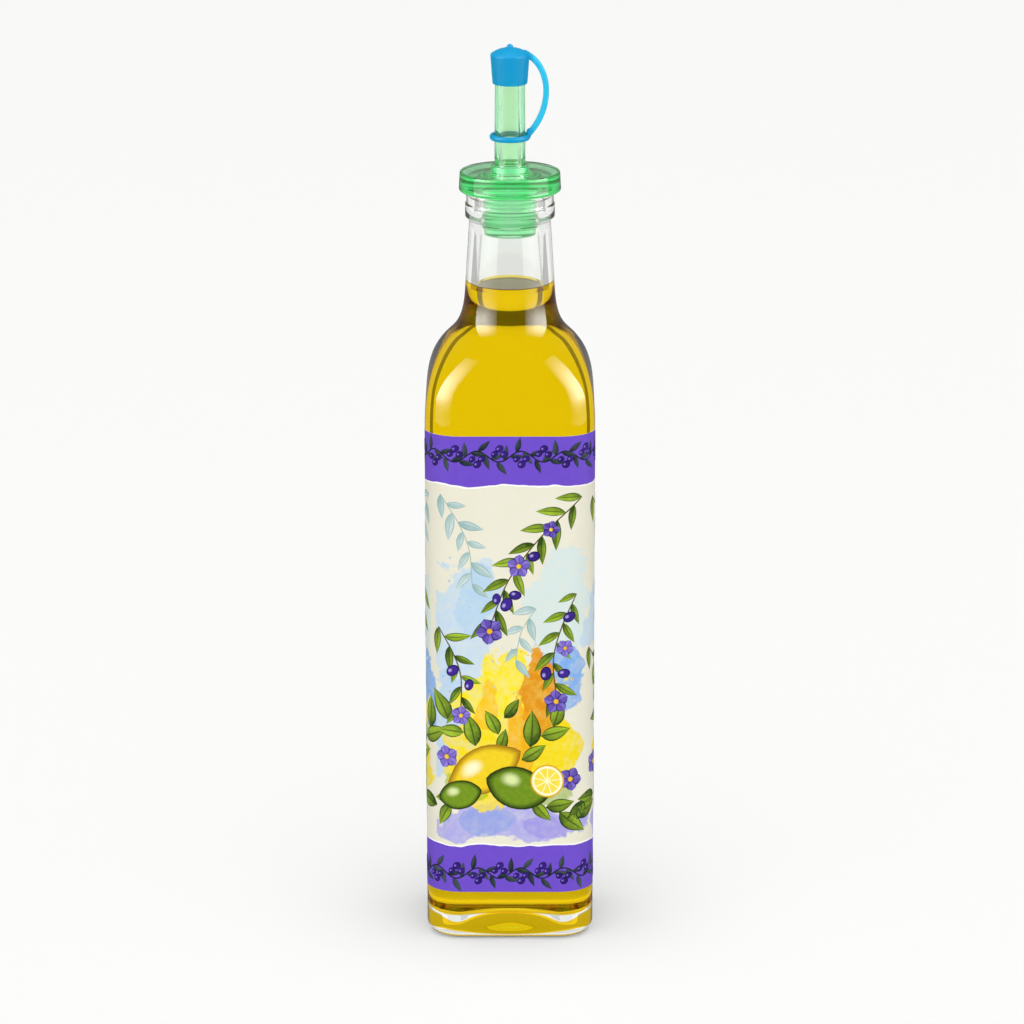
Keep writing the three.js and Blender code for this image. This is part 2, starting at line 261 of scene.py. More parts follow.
def greenPlastic():
    # tinted soft vinyl, injection moulded: thin walls pale, thick flange a full green, glossy skin
    material, add = newMaterial("tintedVinyl")
    dry = add("BsdfPrincipled", {"Base Color": toLinear("eefce6"), "Roughness": 0.06, "IOR": 1.45,
                                 "Transmission Weight": 0.96, "Coat Weight": 0.6, "Coat Roughness": 0.03})
    depth = add("VolumeAbsorption", {"Color": toLinear("00fdb8"), "Density": 76.0})
    add("OutputMaterial", {"Surface": wetted(add, dry), "Volume": depth})
    return material


def blueSoftPlastic():
    # pigmented soft polyethylene, moulded: satin skin, light sinks in a little at thin edges
    material, add = newMaterial("softPolyethylene")
    place = add("TexCoord").outputs["Object"]
    grain = add("TexNoise", {"Vector": place, "Scale": 1 / (0.6 * mm), "Detail": 2.0})
    bump = add("Bump", {"Strength": 0.08, "Distance": 0.05 * mm, "Height": grain})
    # painted light: the thin strap's base colour is made lighter than the cap's, standing in for the light that
    # passes through it; the subsurface lets a little real light through as well
    reach = add("VectorMath MULTIPLY", [place, (1, 1, 0)])
    reach = add("VectorMath LENGTH", [reach])
    paintedStrapLight = add("MapRange", [reach, 6.7 * mm, 8.5 * mm])
    colour = add("Mix", {"Factor": paintedStrapLight, "A": toLinear("009fd3"), "B": toLinear("2cc6ec")}, data_type="RGBA")
    shader = add("BsdfPrincipled", {
        "Base Color": colour, "Roughness": 0.36, "IOR": 1.51, "Specular IOR Level": 0.18,
        "Sheen Weight": 0.5, "Sheen Roughness": 0.3, "Sheen Tint": toLinear("20d8ff"),
        "Subsurface Weight": 0.6, "Subsurface Radius": (0.1, 0.8, 1.0), "Subsurface Scale": 2.0 * mm,
        "Normal": bump})
    add("OutputMaterial", [shader])
    return material


# the bottle, sizes in millimetres as on the solid
bottleShape = {
    "halfBase": 28.6, "halfTop": 29.0, "corner": 12.0, "heel": 4.5,
    "shoulderStart": 181.0, "shoulderPulls": [(29.0, 196.0), (25.6, 204.4)], "shoulderTurn": (20.8, 209.4),
    "sweepPulls": [(18.4, 211.9), (15.7, 215.0)], "squareUpTo": 191.0, "roundFrom": 217.0,
    "neckFoot": (15.3, 225.0), "neckTop": (13.85, 248.4),
    "beadHalf": 15.25, "beadBottom": 250.2, "beadTop": 254.4,
    "beadPulls": (0.9, 1.1), "beadEnd": 0.35, "beadEase": 0.3,
    "lipHalf": 14.9, "lipBottom": 254.9, "lipRounding": 0.8,
    "mouthHalf": 9.8, "bodyWall": 2.7, "neckWall": 3.8,
    "puntHalf": 22.0, "puntCorner": 10.0, "puntRise": 4.0,
    "floorMiddle": 9.7, "floorSide": 7.6, "innerHeel": 6.0, "innerHeelCorner": 2.0,
    "columns": 192,
}
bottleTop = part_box("bottle")[1].z / mm
wrapLow, wrapHigh = (corner.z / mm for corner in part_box("print_wrap"))


def shoulderLine(steps):
    b = bottleShape
    dome = bend([(b["halfTop"], b["shoulderStart"]), *b["shoulderPulls"], b["shoulderTurn"]], steps)
    sweep = bend([b["shoulderTurn"], *b["sweepPulls"], b["neckFoot"]], steps)
    return dome + sweep[1:]


def roundness(z):
    b = bottleShape
    return mix(b["corner"] / b["halfTop"], 1, smoothStep(z, b["squareUpTo"], b["roundFrom"]))


def bodyHalf(z):
    b = bottleShape
    return mix(b["halfBase"], b["halfTop"], (z - b["heel"]) / (b["shoulderStart"] - b["heel"]))


def insideRows(reachIn):
    # the inside of the glass from the floor to the neck's foot; reachIn grows it into the wall
    b = bottleShape
    side = bodyHalf(b["floorSide"]) - b["bodyWall"] + reachIn
    corner = b["corner"] - b["bodyWall"] + reachIn
    sag = (b["floorMiddle"] - b["floorSide"]) / (b["halfBase"] - b["bodyWall"]) ** 2
    flat = side - b["innerHeel"]
    low = b["floorMiddle"] - reachIn
    rows = [(0, 0, low, sag)]
    for i in range(1, 9):
        share = i / 8
        rounding = max(corner - b["innerHeel"], b["innerHeelCorner"])
        rows.append((flat * share, mix(flat * share, rounding, share), low, sag))
    for i in range(1, 11):
        turn = math.pi / 2 * i / 10
        rounding = max(corner - b["innerHeel"] * (1 - math.sin(turn)), b["innerHeelCorner"])
        rows.append((flat + b["innerHeel"] * math.sin(turn), rounding,
                     low + b["innerHeel"] * (1 - math.cos(turn)), sag))
    for half, z in shoulderLine(20):
        risen = smoothStep(z, b["shoulderStart"], b["neckFoot"][1])
        wall = mix(b["bodyWall"], b["neckWall"], risen) - reachIn
        rows.append((half - wall, roundness(z) * half - wall, z, 0))
    return rows


def makeBottle():
    b = bottleShape
    rows = [(0, 0, b["puntRise"], 0)]
    for i in range(1, 9):
        share = i / 8
        half = b["puntHalf"] * share
        rows.append((half, mix(half, b["puntCorner"], share), b["puntRise"] * (1 - share ** 2), 0))
    for inset, z in [(b["heel"] - x, z) for x, z in arc(0, b["heel"], b["heel"], -90, 0, 10)]:
        rows.append((b["halfBase"] - inset, b["corner"] - inset, z, 0))
    rows += [(half, roundness(z) * half, z, 0) for half, z in shoulderLine(20)]
    lip = b["lipRounding"]
    top = bottleTop - lip
    neckTop, bead, ease = b["neckTop"], b["beadHalf"], b["beadEase"]
    rim = bend([neckTop, (neckTop[0], neckTop[1] + b["beadPulls"][0]),
                (bead, b["beadBottom"] - b["beadPulls"][1]), (bead, b["beadBottom"])], 8)
    rim += [(bead, b["beadTop"] - b["beadEnd"])]
    rim += bend([(bead, b["beadTop"] - ease), (bead, b["beadTop"]), (b["lipHalf"], b["lipBottom"] - ease),
                 (b["lipHalf"], b["lipBottom"])], 5)
    rim += arc(b["lipHalf"] - lip, top, lip, 0, 90, 6) + arc(b["mouthHalf"] + lip, top, lip, 90, 180, 6)
    rim += [(b["mouthHalf"], neckTop[1])]
    rows += [(r, r, z, 0) for r, z in rim] + insideRows(0)[::-1]
    return skinOver("bottleGlass", fillRows(rows, 4.0), b["columns"], sodaGlass())


# the oil, which reaches a little into the glass so that no air shows between
oilShape = {"reachIn": 0.12, "meniscusRise": 0.6, "meniscusWidth": 2.0, "meniscusPull": 0.2,
            "clearFrom": 25, "tintFrom": 15}        # in from the wrap's ends, where its tint fades out
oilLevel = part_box("oil")[1].z / mm


def makeOil():
    b, o = bottleShape, oilShape
    rows = insideRows(o["reachIn"])
    share = (oilLevel - b["neckFoot"][1]) / (b["neckTop"][1] - b["neckFoot"][1])
    wall = mix(b["neckFoot"][0] - b["neckWall"], b["mouthHalf"], share) + o["reachIn"]
    wide = o["meniscusWidth"]
    top = bend([(wall, oilLevel + o["meniscusRise"]), (wall - 0.1 * wide, oilLevel + o["meniscusPull"]),
                (wall - 0.5 * wide, oilLevel), (wall - wide, oilLevel)], 8)
    rows += [(r, r, z, 0) for r, z in top] + [(0, 0, oilLevel, 0)]
    return skinOver("oilFill", fillRows(rows, 4.0), b["columns"], goldenOil())


def markWet():
    # the inside of the glass, up to the rim of the meniscus
    low, high = bottleShape["heel"] * mm, (oilLevel + oilShape["meniscusRise"]) * mm
    floorReach = 2 * bottleShape["floorMiddle"] * mm
    wet = []
    for face in glass.data.polygons:
        spot, out = face.center, face.normal
        inward = spot.x * out.x + spot.y * out.y < 0
        onFloor = out.z > 0.3 and spot.z < floorReach
        wet.append(float(low < spot.z < high and (inward or onFloor)))
    keepOn(glass, "wet", "FACE", wet)
    # all of the oil but its open surface
    level = oilLevel * mm - 1e-5
    faces = oil.data.polygons
    keepOn(oil, "wet", "FACE", [float(face.normal.z <= 0.1 or face.center.z <= level) for face in faces])
    # how far each face of the oil lies outside the stretch that the wrap covers well
    middle, half = (wrapLow + wrapHigh) / 2, (wrapHigh - wrapLow) / 2
    clear, tinted = half - oilShape["clearFrom"], half - oilShape["tintFrom"]
    keepOn(oil, "bare", "FACE", [smoothStep(abs(face.center.z / mm - middle), clear, tinted)
                                 for face in faces])


glass = makeBottle()
oil = makeOil()
markWet()
print("glass and oil:", len(glass.data.polygons), "and", len(oil.data.polygons), "faces")


# the pouring stopper
pourerShape = {
    "bore": 3.0, "spoutTop": 5.05, "spoutFoot": 5.25, "tipRounding": 0.6, "tipHeight": 303.4,
    "bossHalf": 6.45, "bossTop": 267.4, "bossRounding": 0.45, "bossFillet": 0.3, "spoutFillet": 0.25,
    "flangeHalf": 17.1, "flangeBottom": 258.6, "flangeTop": 265.4, "flangeRounding": 0.7,
    "beadHalf": 17.4, "beadRounding": 0.9, "lipWidth": 1.2, "dish": 0.04,
    "lipStart": (0.15, 0.02), "lipPull": (0.8, 0.05), "lipEnd": (0.9, 1.2),
    "plugTop": 9.2, "plugBottom": 8.7, "plugChamfer": 0.8,
    "ribs": (247.2, 251.2, 255.2), "ribHalf": 9.5, "ribHeight": 1.4, "ribPulls": (0.3, 0.7),
    "columns": 128,
}


def makePourer():
    p = pourerShape
    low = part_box("pourer")[0].z / mm
    outline = [(p["bore"], low)]
    outline += arc(p["plugBottom"] - p["plugChamfer"], low + p["plugChamfer"], p["plugChamfer"], -90, 0, 5)
    for z in p["ribs"]:
        side = mix(p["plugBottom"], p["plugTop"], (z - low) / (p["flangeBottom"] - low))
        tall, rib = p["ribHeight"] / 2, p["ribHalf"]
        foot, crest = (tall * pull for pull in p["ribPulls"])
        outline += bend([(side, z - tall), (side, z - foot), (rib, z - crest), (rib, z)], 5)
        outline += bend([(rib, z), (rib, z + crest), (side, z + foot), (side, z + tall)], 5)[1:]
    outline.append((p["plugTop"], p["flangeBottom"]))
    bead = p["beadRounding"]
    outline += arc(p["beadHalf"] - bead, p["flangeBottom"] + bead, bead, -90, 20, 9)
    edge = p["flangeRounding"]
    outline += arc(p["flangeHalf"] - edge, p["flangeTop"] - edge, edge, 0, 100, 8)
    # a low lip round the flange, then its dish up to the boss
    top, flange, lip = p["flangeTop"], p["flangeHalf"], p["lipWidth"]
    dish = top - p["dish"]
    (start, down), (pull, sunk), (foot, end) = p["lipStart"], p["lipPull"], p["lipEnd"]
    outline += bend([(flange - edge - start, top - down), (flange - lip * pull, top - sunk),
                     (flange - lip * foot, dish), (flange - lip * end, dish)], 6)[1:]
    boss, fillet = p["bossRounding"], p["bossFillet"]
    outline += [(p["bossHalf"] + fillet, dish)]
    outline += arc(p["bossHalf"] + fillet, dish + fillet, fillet, 270, 180, 3)[1:]
    outline += arc(p["bossHalf"] - boss, p["bossTop"] - boss, boss, 0, 90, 5)
    fillet = p["spoutFillet"]
    outline += arc(p["spoutFoot"] + fillet, p["bossTop"] + fillet, fillet, 270, 180, 3)
    tip = p["tipRounding"]
    outline += arc(p["spoutTop"] - tip, p["tipHeight"] - tip, tip, 0, 90, 5)
    outline += [(p["bore"], p["tipHeight"]), outline[0]]
    obj = turned("pourerMoulding", outline, p["columns"], greenPlastic())
    # oil left in the bore below the boss makes its wall vanish there
    wide, high = p["bore"] * 1.05 * mm, p["bossTop"] * mm
    keepOn(obj, "wet", "FACE", [float(face.center.xy.length < wide and face.center.z < high)
                                for face in obj.data.polygons])
    return obj


# the cap with its strap and ring
capShape = {
    "half": 6.65, "bottomHalf": 5.95, "skirt": 295.4, "rounding": 0.45, "bore": 5.35, "boreEdge": 0.1,
    "ceiling": 304.0, "rim": 305.6, "rimEdge": [(-0.02, -0.7), (0.01, -0.25), (-0.05, -0.02), (-0.3, 0.13)],
    "dome": 2.2, "nubHalf": 1.2, "nubFoot": 0.3, "nubPull": (0.8, 0.1), "nubEdge": 0.05,
    "strapStart": (4.5, 306.1), "strapPulls": [(14.0, 302.2), (15.0, 287.4)], "strapThick": 1.95,
    "strapDeep": 2.4, "strapRounding": 0.5, "strapSteps": 48,
    "ringInner": 5.45, "ringOuter": 6.9, "ringHeight": 2.0, "ringMiddle": 277.1,
    "knuckle": (6.35, 278.1), "knuckleRadii": (0.85, 1.4, 1.9),
    "columns": 96, "knuckleColumns": 32, "sharpFrom": 50,        # degrees
}


def capOutline():
    c = capShape
    low, top = c["skirt"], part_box("cap")[1].z / mm - 0.001
    radius = (c["half"] ** 2 + c["dome"] ** 2) / (2 * c["dome"])
    centre = c["rim"] + c["dome"] - radius
    edge = c["rounding"]
    inner = c["boreEdge"]
    outline = [(0, c["ceiling"]), (c["bore"], c["ceiling"]), (c["bore"], low + inner)]
    outline += arc(c["bore"] + inner, low + inner, inner, 180, 270, 2)[1:]
    outline += arc(c["bottomHalf"] - edge, low + edge, edge, -90, 0, 5)
    outline += bend([(c["half"] + out, c["rim"] + up) for out, up in c["rimEdge"]], 5)
    for i in range(1, 13):
        r = mix(c["half"] + c["rimEdge"][-1][0], c["nubHalf"] + c["nubFoot"], i / 12)
        outline.append((r, centre + math.sqrt(radius ** 2 - r ** 2)))
    foot, nub = outline[-1], c["nubHalf"]
    pull, rise = c["nubPull"]
    outline += bend([foot, (nub * pull, foot[1] + rise), (nub, top - c["nubEdge"]), (0, top)], 8)[1:]
    return outline


def strapRows():
    # the band's own section, carried along its bow in the plane of the strap
    c = capShape
    bow = bend([c["strapStart"], *c["strapPulls"], c["knuckle"]], c["strapSteps"])
    x, y, r = c["strapThick"] / 2, c["strapDeep"] / 2, c["strapRounding"]
    band = (arc(x - r, y - r, r, 0, 90, 4) + arc(r - x, y - r, r, 90, 180, 4)
            + arc(r - x, r - y, r, 180, 270, 4) + arc(x - r, r - y, r, 270, 360, 4))
    verts = []
    for i, (px, pz) in enumerate(bow):
        before, after = bow[max(i - 1, 0)], bow[min(i + 1, len(bow) - 1)]
        run = Vector((after[0] - before[0], after[1] - before[1])).normalized()
        out = Vector((-run.y, run.x))
        verts += [((px + out.x * a) * mm, b * mm, (pz + out.y * a) * mm) for a, b in band]
    n = len(band)
    faces = [(i * n + j, i * n + (j + 1) % n, (i + 1) * n + (j + 1) % n, (i + 1) * n + j)
             for i in range(len(bow) - 1) for j in range(n)]
    faces += [tuple(range(n))[::-1], tuple(range((len(bow) - 1) * n, len(bow) * n))]
    return verts, faces


def makeCap():
    c = capShape
    blue = blueSoftPlastic()
    cap = turned("capMoulding", capOutline(), c["columns"], blue)
    middle = (c["ringInner"] + c["ringOuter"]) / 2
    wide, tall = (c["ringOuter"] - c["ringInner"]) / 2, c["ringHeight"] / 2
    oval = [(middle + wide * math.cos(a), c["ringMiddle"] + tall * math.sin(a))
            for a in (2 * math.pi * i / 24 for i in range(25))]
    ring = turned("capRing", oval, c["columns"], blue)
    verts, faces = strapRows()
    strap = newObject("capStrap", verts, faces=faces)
    (x, z), (rx, ry, rz) = c["knuckle"], c["knuckleRadii"]
    ball = [(math.cos(a), math.sin(a)) for a in (math.pi * (i / 16 - 0.5) for i in range(17))]
    knuckle = turned("capKnuckle", ball, c["knuckleColumns"], blue)
    for corner in knuckle.data.vertices:
        corner.co = Vector((x + corner.co.x * rx / mm, corner.co.y * ry / mm, z + corner.co.z * rz / mm)) * mm
    pieces = (ring, strap, knuckle)
    for piece in pieces:
        joined = cap.modifiers.new("join", "BOOLEAN")
        joined.operation = "UNION"
        joined.object = piece
        joined.solver = "EXACT"
    evaluated = cap.evaluated_get(bpy.context.evaluated_depsgraph_get())
    cap.data = bpy.data.meshes.new_from_object(evaluated)
    cap.modifiers.clear()
    for piece in pieces:
        bpy.data.objects.remove(piece)
    cap.data.materials.clear()
    cap.data.materials.append(blue)
    cap.data.polygons.foreach_set("material_index", [0] * len(cap.data.polygons))
    cap.data.set_sharp_from_angle(angle=math.radians(c["sharpFrom"]))
    return cap


pourer = makePourer()
cap = makeCap()
print("pourer and cap:", len(pourer.data.polygons), "and", len(cap.data.polygons), "faces")


# the printed wrap, laid out flat and then carried round the body
wrapShape = {"lift": -0.03, "thick": 0.09, "columns": 320, "rows": 8,
             "lowerBand": 34.1, "upperBand": 162.3}
panelWidth = 2 * (bottleShape["halfTop"] - bottleShape["corner"]) + bottleShape["corner"] * math.pi / 2


def wrapOnBodyTree():
    # flat print place (along the sides, up, proud of the glass) to a place on the rounded square body
    b = bottleShape
    tree, add, given = newShapeTree("wrapOnBody", Material=None)
    flatHalf = (b["halfTop"] - b["corner"]) * mm
    corner = b["corner"] * mm
    width = panelWidth * mm
    u, v, lift = add("SeparateXYZ", [add("InputPosition")]).outputs
    panel = add("Math ROUND", [add("Math DIVIDE", [u, width])])
    aside = add("Math MULTIPLY_ADD", [panel, -width, u])
    sign, far = add("Math SIGN", [aside]), add("Math ABSOLUTE", [aside])
    flat = add("Math MINIMUM", [far, flatHalf])
    bendBy = add("Math DIVIDE", [add("Math SUBTRACT", [far, flat]), corner])
    radius = add("Math ADD", [lift, corner])
    # the sides lean out a little towards the shoulder
    slope = (b["halfTop"] - b["halfBase"]) / (b["shoulderStart"] - b["heel"])
    foot = (b["halfBase"] - b["corner"] - slope * b["heel"]) * mm
    sideHalf = add("Math MULTIPLY_ADD", [v, slope, foot])
    flat = add("Math MULTIPLY", [flat, add("Math DIVIDE", [sideHalf, flatHalf])])
    out = add("Math MULTIPLY_ADD", [radius, add("Math COSINE", [bendBy]), sideHalf])
    along = add("Math MULTIPLY_ADD", [radius, add("Math SINE", [bendBy]), flat])
    along = add("Math MULTIPLY", [along, sign])
    spot = add("CombineXYZ", [out, along, v])
    turn = add("Math MULTIPLY_ADD", [panel, math.pi / 2, -math.pi / 2])
    spot = add("VectorRotate", {"Vector": spot, "Angle": turn}, rotation_type="Z_AXIS")
    moved = add("SetPosition", {"Geometry": given["Geometry"], "Position": spot})
    moved = add("MergeByDistance", {"Geometry": moved, "Distance": 1e-6})
    closeTree(add, moved, given["Material"])
    return tree


wrapOnBody = wrapOnBodyTree()


# the print, in millimetres: along the sides from the middle of the front, and up from the base
filmPrint = {
    "ground": "edebda", "groundShade": "e4e0cb", "backing": "ffffff", "band": "7351d0", "bandShade": "6a48c4",
    "edgeLine": "fffdf8", "edgeWidth": 0.5, "edgeWave": 3.4, "edgeWaveLong": 12.0,
    # ragged edges: size and strength of the coarse and the fine runs, and where colour pools
    "runs": (17.0, 3.6), "ragged": (1.9, 0.75), "pooling": (0.3, 0.6, 0.6, 1.0),
    "washEdge": 0.88, "washRim": (0.6, 0.9),
    # colour washes: across, up, half width, half height, colour, strength
    "washes": [
        (-17, 112, 15, 24, "bcd7ee", 0.85), (-12, 124, 8, 12, "a9cdea", 0.6),
        (17, 118, 11, 26, "cfe4e6", 0.8), (19, 92, 8, 15, "6fa6ea", 0.9),
        (-21, 78, 8, 17, "b4d0ec", 0.85), (1, 43, 25, 7.5, "a9a6e6", 0.95),
        (-10, 43, 10, 5, "8aa0e0", 0.7), (13, 41, 8, 4, "9a8fe0", 0.7),
        (2, 78, 20, 27, "f8e40c", 1.0), (-11, 62, 13, 14, "f4dc10", 1.0), (13, 66, 11, 15, "f2d80c", 1.0),
        (10, 88, 6.5, 17, "e08a10", 0.95), (3, 72, 5, 16, "f0a410", 0.8), (-8, 84, 5, 9, "f6b81c", 0.7),
        (-15, 56, 9, 8, "a8bd1a", 0.8), (15, 54, 8, 6, "93b01e", 0.7),
        (40, 116, 13, 24, "bcd7ee", 0.85), (66, 112, 11, 26, "cfe4e6", 0.8), (72, 88, 8, 15, "6fa6ea", 0.9),
        (52, 43, 24, 7.5, "a9a6e6", 0.95), (60, 42, 10, 4.5, "8aa0e0", 0.7),
        (54, 76, 18, 26, "f8e40c", 1.0), (62, 62, 12, 13, "f4dc10", 1.0), (46, 82, 6, 16, "e08a10", 0.95),
        (58, 74, 5, 15, "f0a410", 0.8), (43, 57, 9, 8, "a8bd1a", 0.8),
    ],
    # fine drops round the washes: across, up, half width, half height, colour
    "drops": [(2, 80, 25, 36, "eec010"), (-16, 112, 18, 30, "9cc2e6"), (54, 78, 24, 36, "eec010")],
    "dropGap": 3.0, "dropShare": 0.45, "dropSize": (0.05, 0.2), "dropEdge": 0.95, "dropStrength": 0.75,
}
printFinish = {"Roughness": 0.5, "IOR": 1.49, "Specular IOR Level": 0.1}        # satin screen ink


def printedFilm():
    # satin screen print on a white base coat: cream ground, violet bands, loose washes of colour
    f, w = filmPrint, wrapShape
    material, add = newMaterial("printedFilm")
    body = add("TexCoord").outputs["Object"]
    flat = add("VectorMath SCALE", {0: add("UVMap", uv_map="printPlace"), "Scale": 1 / mm})
    u, v, _ = add("SeparateXYZ", [flat]).outputs
    # the design comes twice round the bottle
    around = add("Math WRAP", [u, 1.5 * panelWidth, -0.5 * panelWidth])
    place = add("CombineXYZ", [around, v])
    coarse = add("TexNoise", {"Vector": body, "Scale": 1 / (f["runs"][0] * mm), "Detail": 2.0})
    fine = add("TexNoise", {"Vector": body, "Scale": 1 / (f["runs"][1] * mm), "Detail": 5.0,
                            "Roughness": 0.6})
    layers = [(coarse, toLinear(f["groundShade"]))]        # share and colour of each, from the lowest up

    def reachOf(across, up, wide, tall):
        # 0 in the middle of an oval and 1 at its edge
        reach = add("VectorMath SUBTRACT", [place, (across, up, 0)])
        reach = add("VectorMath MULTIPLY", [reach, (1 / wide, 1 / tall, 0)])
        return add("VectorMath LENGTH", [reach])

    # three ragged edges in turn, so that neighbours do not follow each other
    rough, slight = f["ragged"]
    edges = []
    parts = [add("SeparateXYZ", [noise.outputs["Color"]]).outputs for noise in (coarse, fine)]
    for big, small in zip(*parts):
        edge = add("Math MULTIPLY_ADD", [big, rough, -0.5 * (rough + slight)])
        edges.append(add("Math MULTIPLY_ADD", [small, slight, edge]))
    pool = add("MapRange", [fine, *f["pooling"]])
    for i, (*oval, tint, strength) in enumerate(f["washes"]):
        reach = add("Math ADD", [reachOf(*oval), edges[i % 3]])
        wet = add("MapRange", [reach, 1.0, f["washEdge"], 0.0, strength], interpolation_type="SMOOTHSTEP")
        # colour gathers at the dried rim
        pooled = add("Math MAXIMUM", [add("MapRange", [reach, *f["washRim"]]), pool])
        layers.append((add("Math MULTIPLY", [wet, pooled]), toLinear(tint)))
    cells = add("TexVoronoi", {"Vector": body, "Scale": 1 / (f["dropGap"] * mm)})
    chance, big, _ = add("SeparateXYZ", [cells.outputs["Color"]]).outputs
    least, spread = f["dropSize"]
    size = add("Math MULTIPLY_ADD", [big, spread, least])
    drop = add("Math LESS_THAN", [cells.outputs["Distance"], size])
    drop = add("Math MULTIPLY", [drop, add("Math LESS_THAN", [chance, f["dropShare"]])])
    for *oval, tint in f["drops"]:
        near = add("MapRange", [reachOf(*oval), 1.0, f["dropEdge"], 0.0, f["dropStrength"]])
        layers.append((add("Math MULTIPLY", [near, drop]), toLinear(tint)))
    # both bands have a hand-cut edge with a thin pale line
    sway = add("TexNoise", {"Vector": body, "Scale": 1 / (f["edgeWaveLong"] * mm), "Detail": 2.0})
    sway = add("Math SUBTRACT", [sway, 0.5])
    up = add("Math MULTIPLY_ADD", [sway, f["edgeWave"], v])
    middle, edge = (w["upperBand"] + w["lowerBand"]) / 2, (w["upperBand"] - w["lowerBand"]) / 2
    away = add("Math ABSOLUTE", [add("Math SUBTRACT", [up, middle])])
    line = add("Math GREATER_THAN", [away, edge - f["edgeWidth"]])
    band = add("Math GREATER_THAN", [away, edge])
    tones = {"A": toLinear(f["band"]), "B": toLinear(f["bandShade"])}
    violet = add("Mix", {"Factor": fine, **tones}, data_type="RGBA")
    backing = add("Attribute", attribute_name="backing").outputs["Fac"]
    layers += [(line, toLinear(f["edgeLine"])), (band, violet), (backing, toLinear(f["backing"]))]
    colour = toLinear(f["ground"])
    for share, tint in layers:
        colour = add("Mix", {"Factor": share, "A": colour, "B": tint}, data_type="RGBA")
    add("OutputMaterial", [add("BsdfPrincipled", {"Base Color": colour, **printFinish})])
    return material


def makeWrap():
    w = wrapShape
    across = [(i / w["columns"] - 0.5) * 4 * panelWidth for i in range(w["columns"] + 1)]
    up = [mix(wrapLow, wrapHigh, j / w["rows"]) for j in range(w["rows"] + 1)]
    verts, faces, backing = [], [], []
    n = len(up)
    for lift in (w["lift"] + w["thick"], w["lift"]):
        verts += [(u * mm, v * mm, lift * mm) for u in across for v in up]
    back = len(across) * n
    for i in range(len(across) - 1):
        for j in range(n - 1):
            a, b = i * n + j, (i + 1) * n + j
            faces += [(a, b, b + 1, a + 1), (back + a, back + a + 1, back + b + 1, back + b)]
            backing += [0, 1]
        a, b = i * n, (i + 1) * n
        faces += [(a, back + a, back + b, b), (a + n - 1, b + n - 1, back + b + n - 1, back + a + n - 1)]
        backing += [1, 1]
    obj = newObject("printWrap", verts, faces=faces)
    keepOn(obj, "backing", "FACE", backing)
    layer = obj.data.uv_layers.new(name="printPlace")
    for loop in obj.data.loops:
        layer.data[loop.index].uv = obj.data.vertices[loop.vertex_index].co[:2]
    runTree(obj, wrapOnBody, Material=printedFilm())
    return obj


wrap = makeWrap()
print("wrap:", len(wrap.data.polygons), "faces")


# the printed motifs: thin films of ink, drawn flat and then carried round the body like the wrap
inkShape = {"thick": 0.02, "above": 0.02, "layer": 0.03, "lineStep": 0.8, "tipSharpness": 14.0,
            "leafLean": (-0.25, 0.25), "leafGrowth": (-0.22, 0.12),
            "leafStack": 0.03, "spotStack": 0.007, "petalStack": 0.006}        # what keeps films apart


def inkFilm(add, sheet):
    # gives a flat sheet its thickness and closes it underneath
    thick = inkShape["thick"] * mm
    raised = add("ExtrudeMesh", {"Mesh": sheet, "Offset Scale": thick, "Individual": False})
    both = add("JoinGeometry", [[raised, add("FlipFaces", [sheet])]])
    return add("MergeByDistance", {"Geometry": both, "Distance": 1e-7})


def leafSheet(add, length, width, belly, curl):
    # a flat leaf or petal along X, with where each point lies along and across it
    sheet = add("MeshGrid", {"Size X": 1.0, "Size Y": 2.0, "Vertices X": 9, "Vertices Y": 5})
    x, across, _ = add("SeparateXYZ", [add("InputPosition")]).outputs
    along = add("Math ADD", [x, 0.5])
    for name, value in [("along", along), ("across", across)]:
        sheet = add("StoreNamedAttribute", {"Geometry": sheet, "Name": name, "Value": value},
                    data_type="FLOAT")
    swell = add("Math POWER", [along, belly])
    swell = add("Math SINE", [add("Math MULTIPLY", [swell, math.pi])])
    half = add("Math MULTIPLY", [add("Math MULTIPLY", [width, 0.5]), swell])
    x = add("Math MULTIPLY", [along, length])
    bow = add("Math MULTIPLY", [add("Math MULTIPLY", [x, along]), curl])
    y = add("Math MULTIPLY_ADD", [across, half, bow])
    return inkFilm(add, add("SetPosition", {"Geometry": sheet, "Position": add("CombineXYZ", [x, y])}))


def roundSheet(add, wide, tall, tip):
    # a flat disc or fruit along X, with how far out each point lies and its own place in the shape
    sheet = add("MeshGrid", {"Size X": 1.0, "Size Y": 1.0, "Vertices X": 25, "Vertices Y": 6})
    x, y, _ = add("SeparateXYZ", [add("InputPosition")]).outputs
    turn = add("Math MULTIPLY", [x, 2 * math.pi])
    out = add("Math SUBTRACT", [0.5, y])
    cosine, sine = add("Math COSINE", [turn]), add("Math SINE", [turn])
    x, y = add("Math MULTIPLY", [cosine, out]), add("Math MULTIPLY", [sine, out])
    for name, value, kind in [("along", out, "FLOAT"), ("local", add("CombineXYZ", [x, y]), "FLOAT_VECTOR")]:
        sheet = add("StoreNamedAttribute", {"Geometry": sheet, "Name": name, "Value": value}, data_type=kind)
    # a high power of the cosine draws out the two tips of a fruit
    peak = add("Math POWER", [add("Math ABSOLUTE", [cosine]), inkShape["tipSharpness"]])
    peak = add("Math MULTIPLY_ADD", [peak, tip, 1.0])
    x = add("Math MULTIPLY", [add("Math MULTIPLY", [x, peak]), wide])
    y = add("Math MULTIPLY", [y, tall])
    sheet = add("SetPosition", {"Geometry": sheet, "Position": add("CombineXYZ", [x, y])})
    return inkFilm(add, add("MergeByDistance", {"Geometry": sheet, "Distance": 1e-7}))


def smoothLine(add, drawn):
    line = add("MeshToCurve", [drawn])
    line = add("CurveSplineType", [line], spline_type="CATMULL_ROM")
    return add("ResampleCurve", {"Curve": line, "Length": inkShape["lineStep"] * mm}, mode="LENGTH")


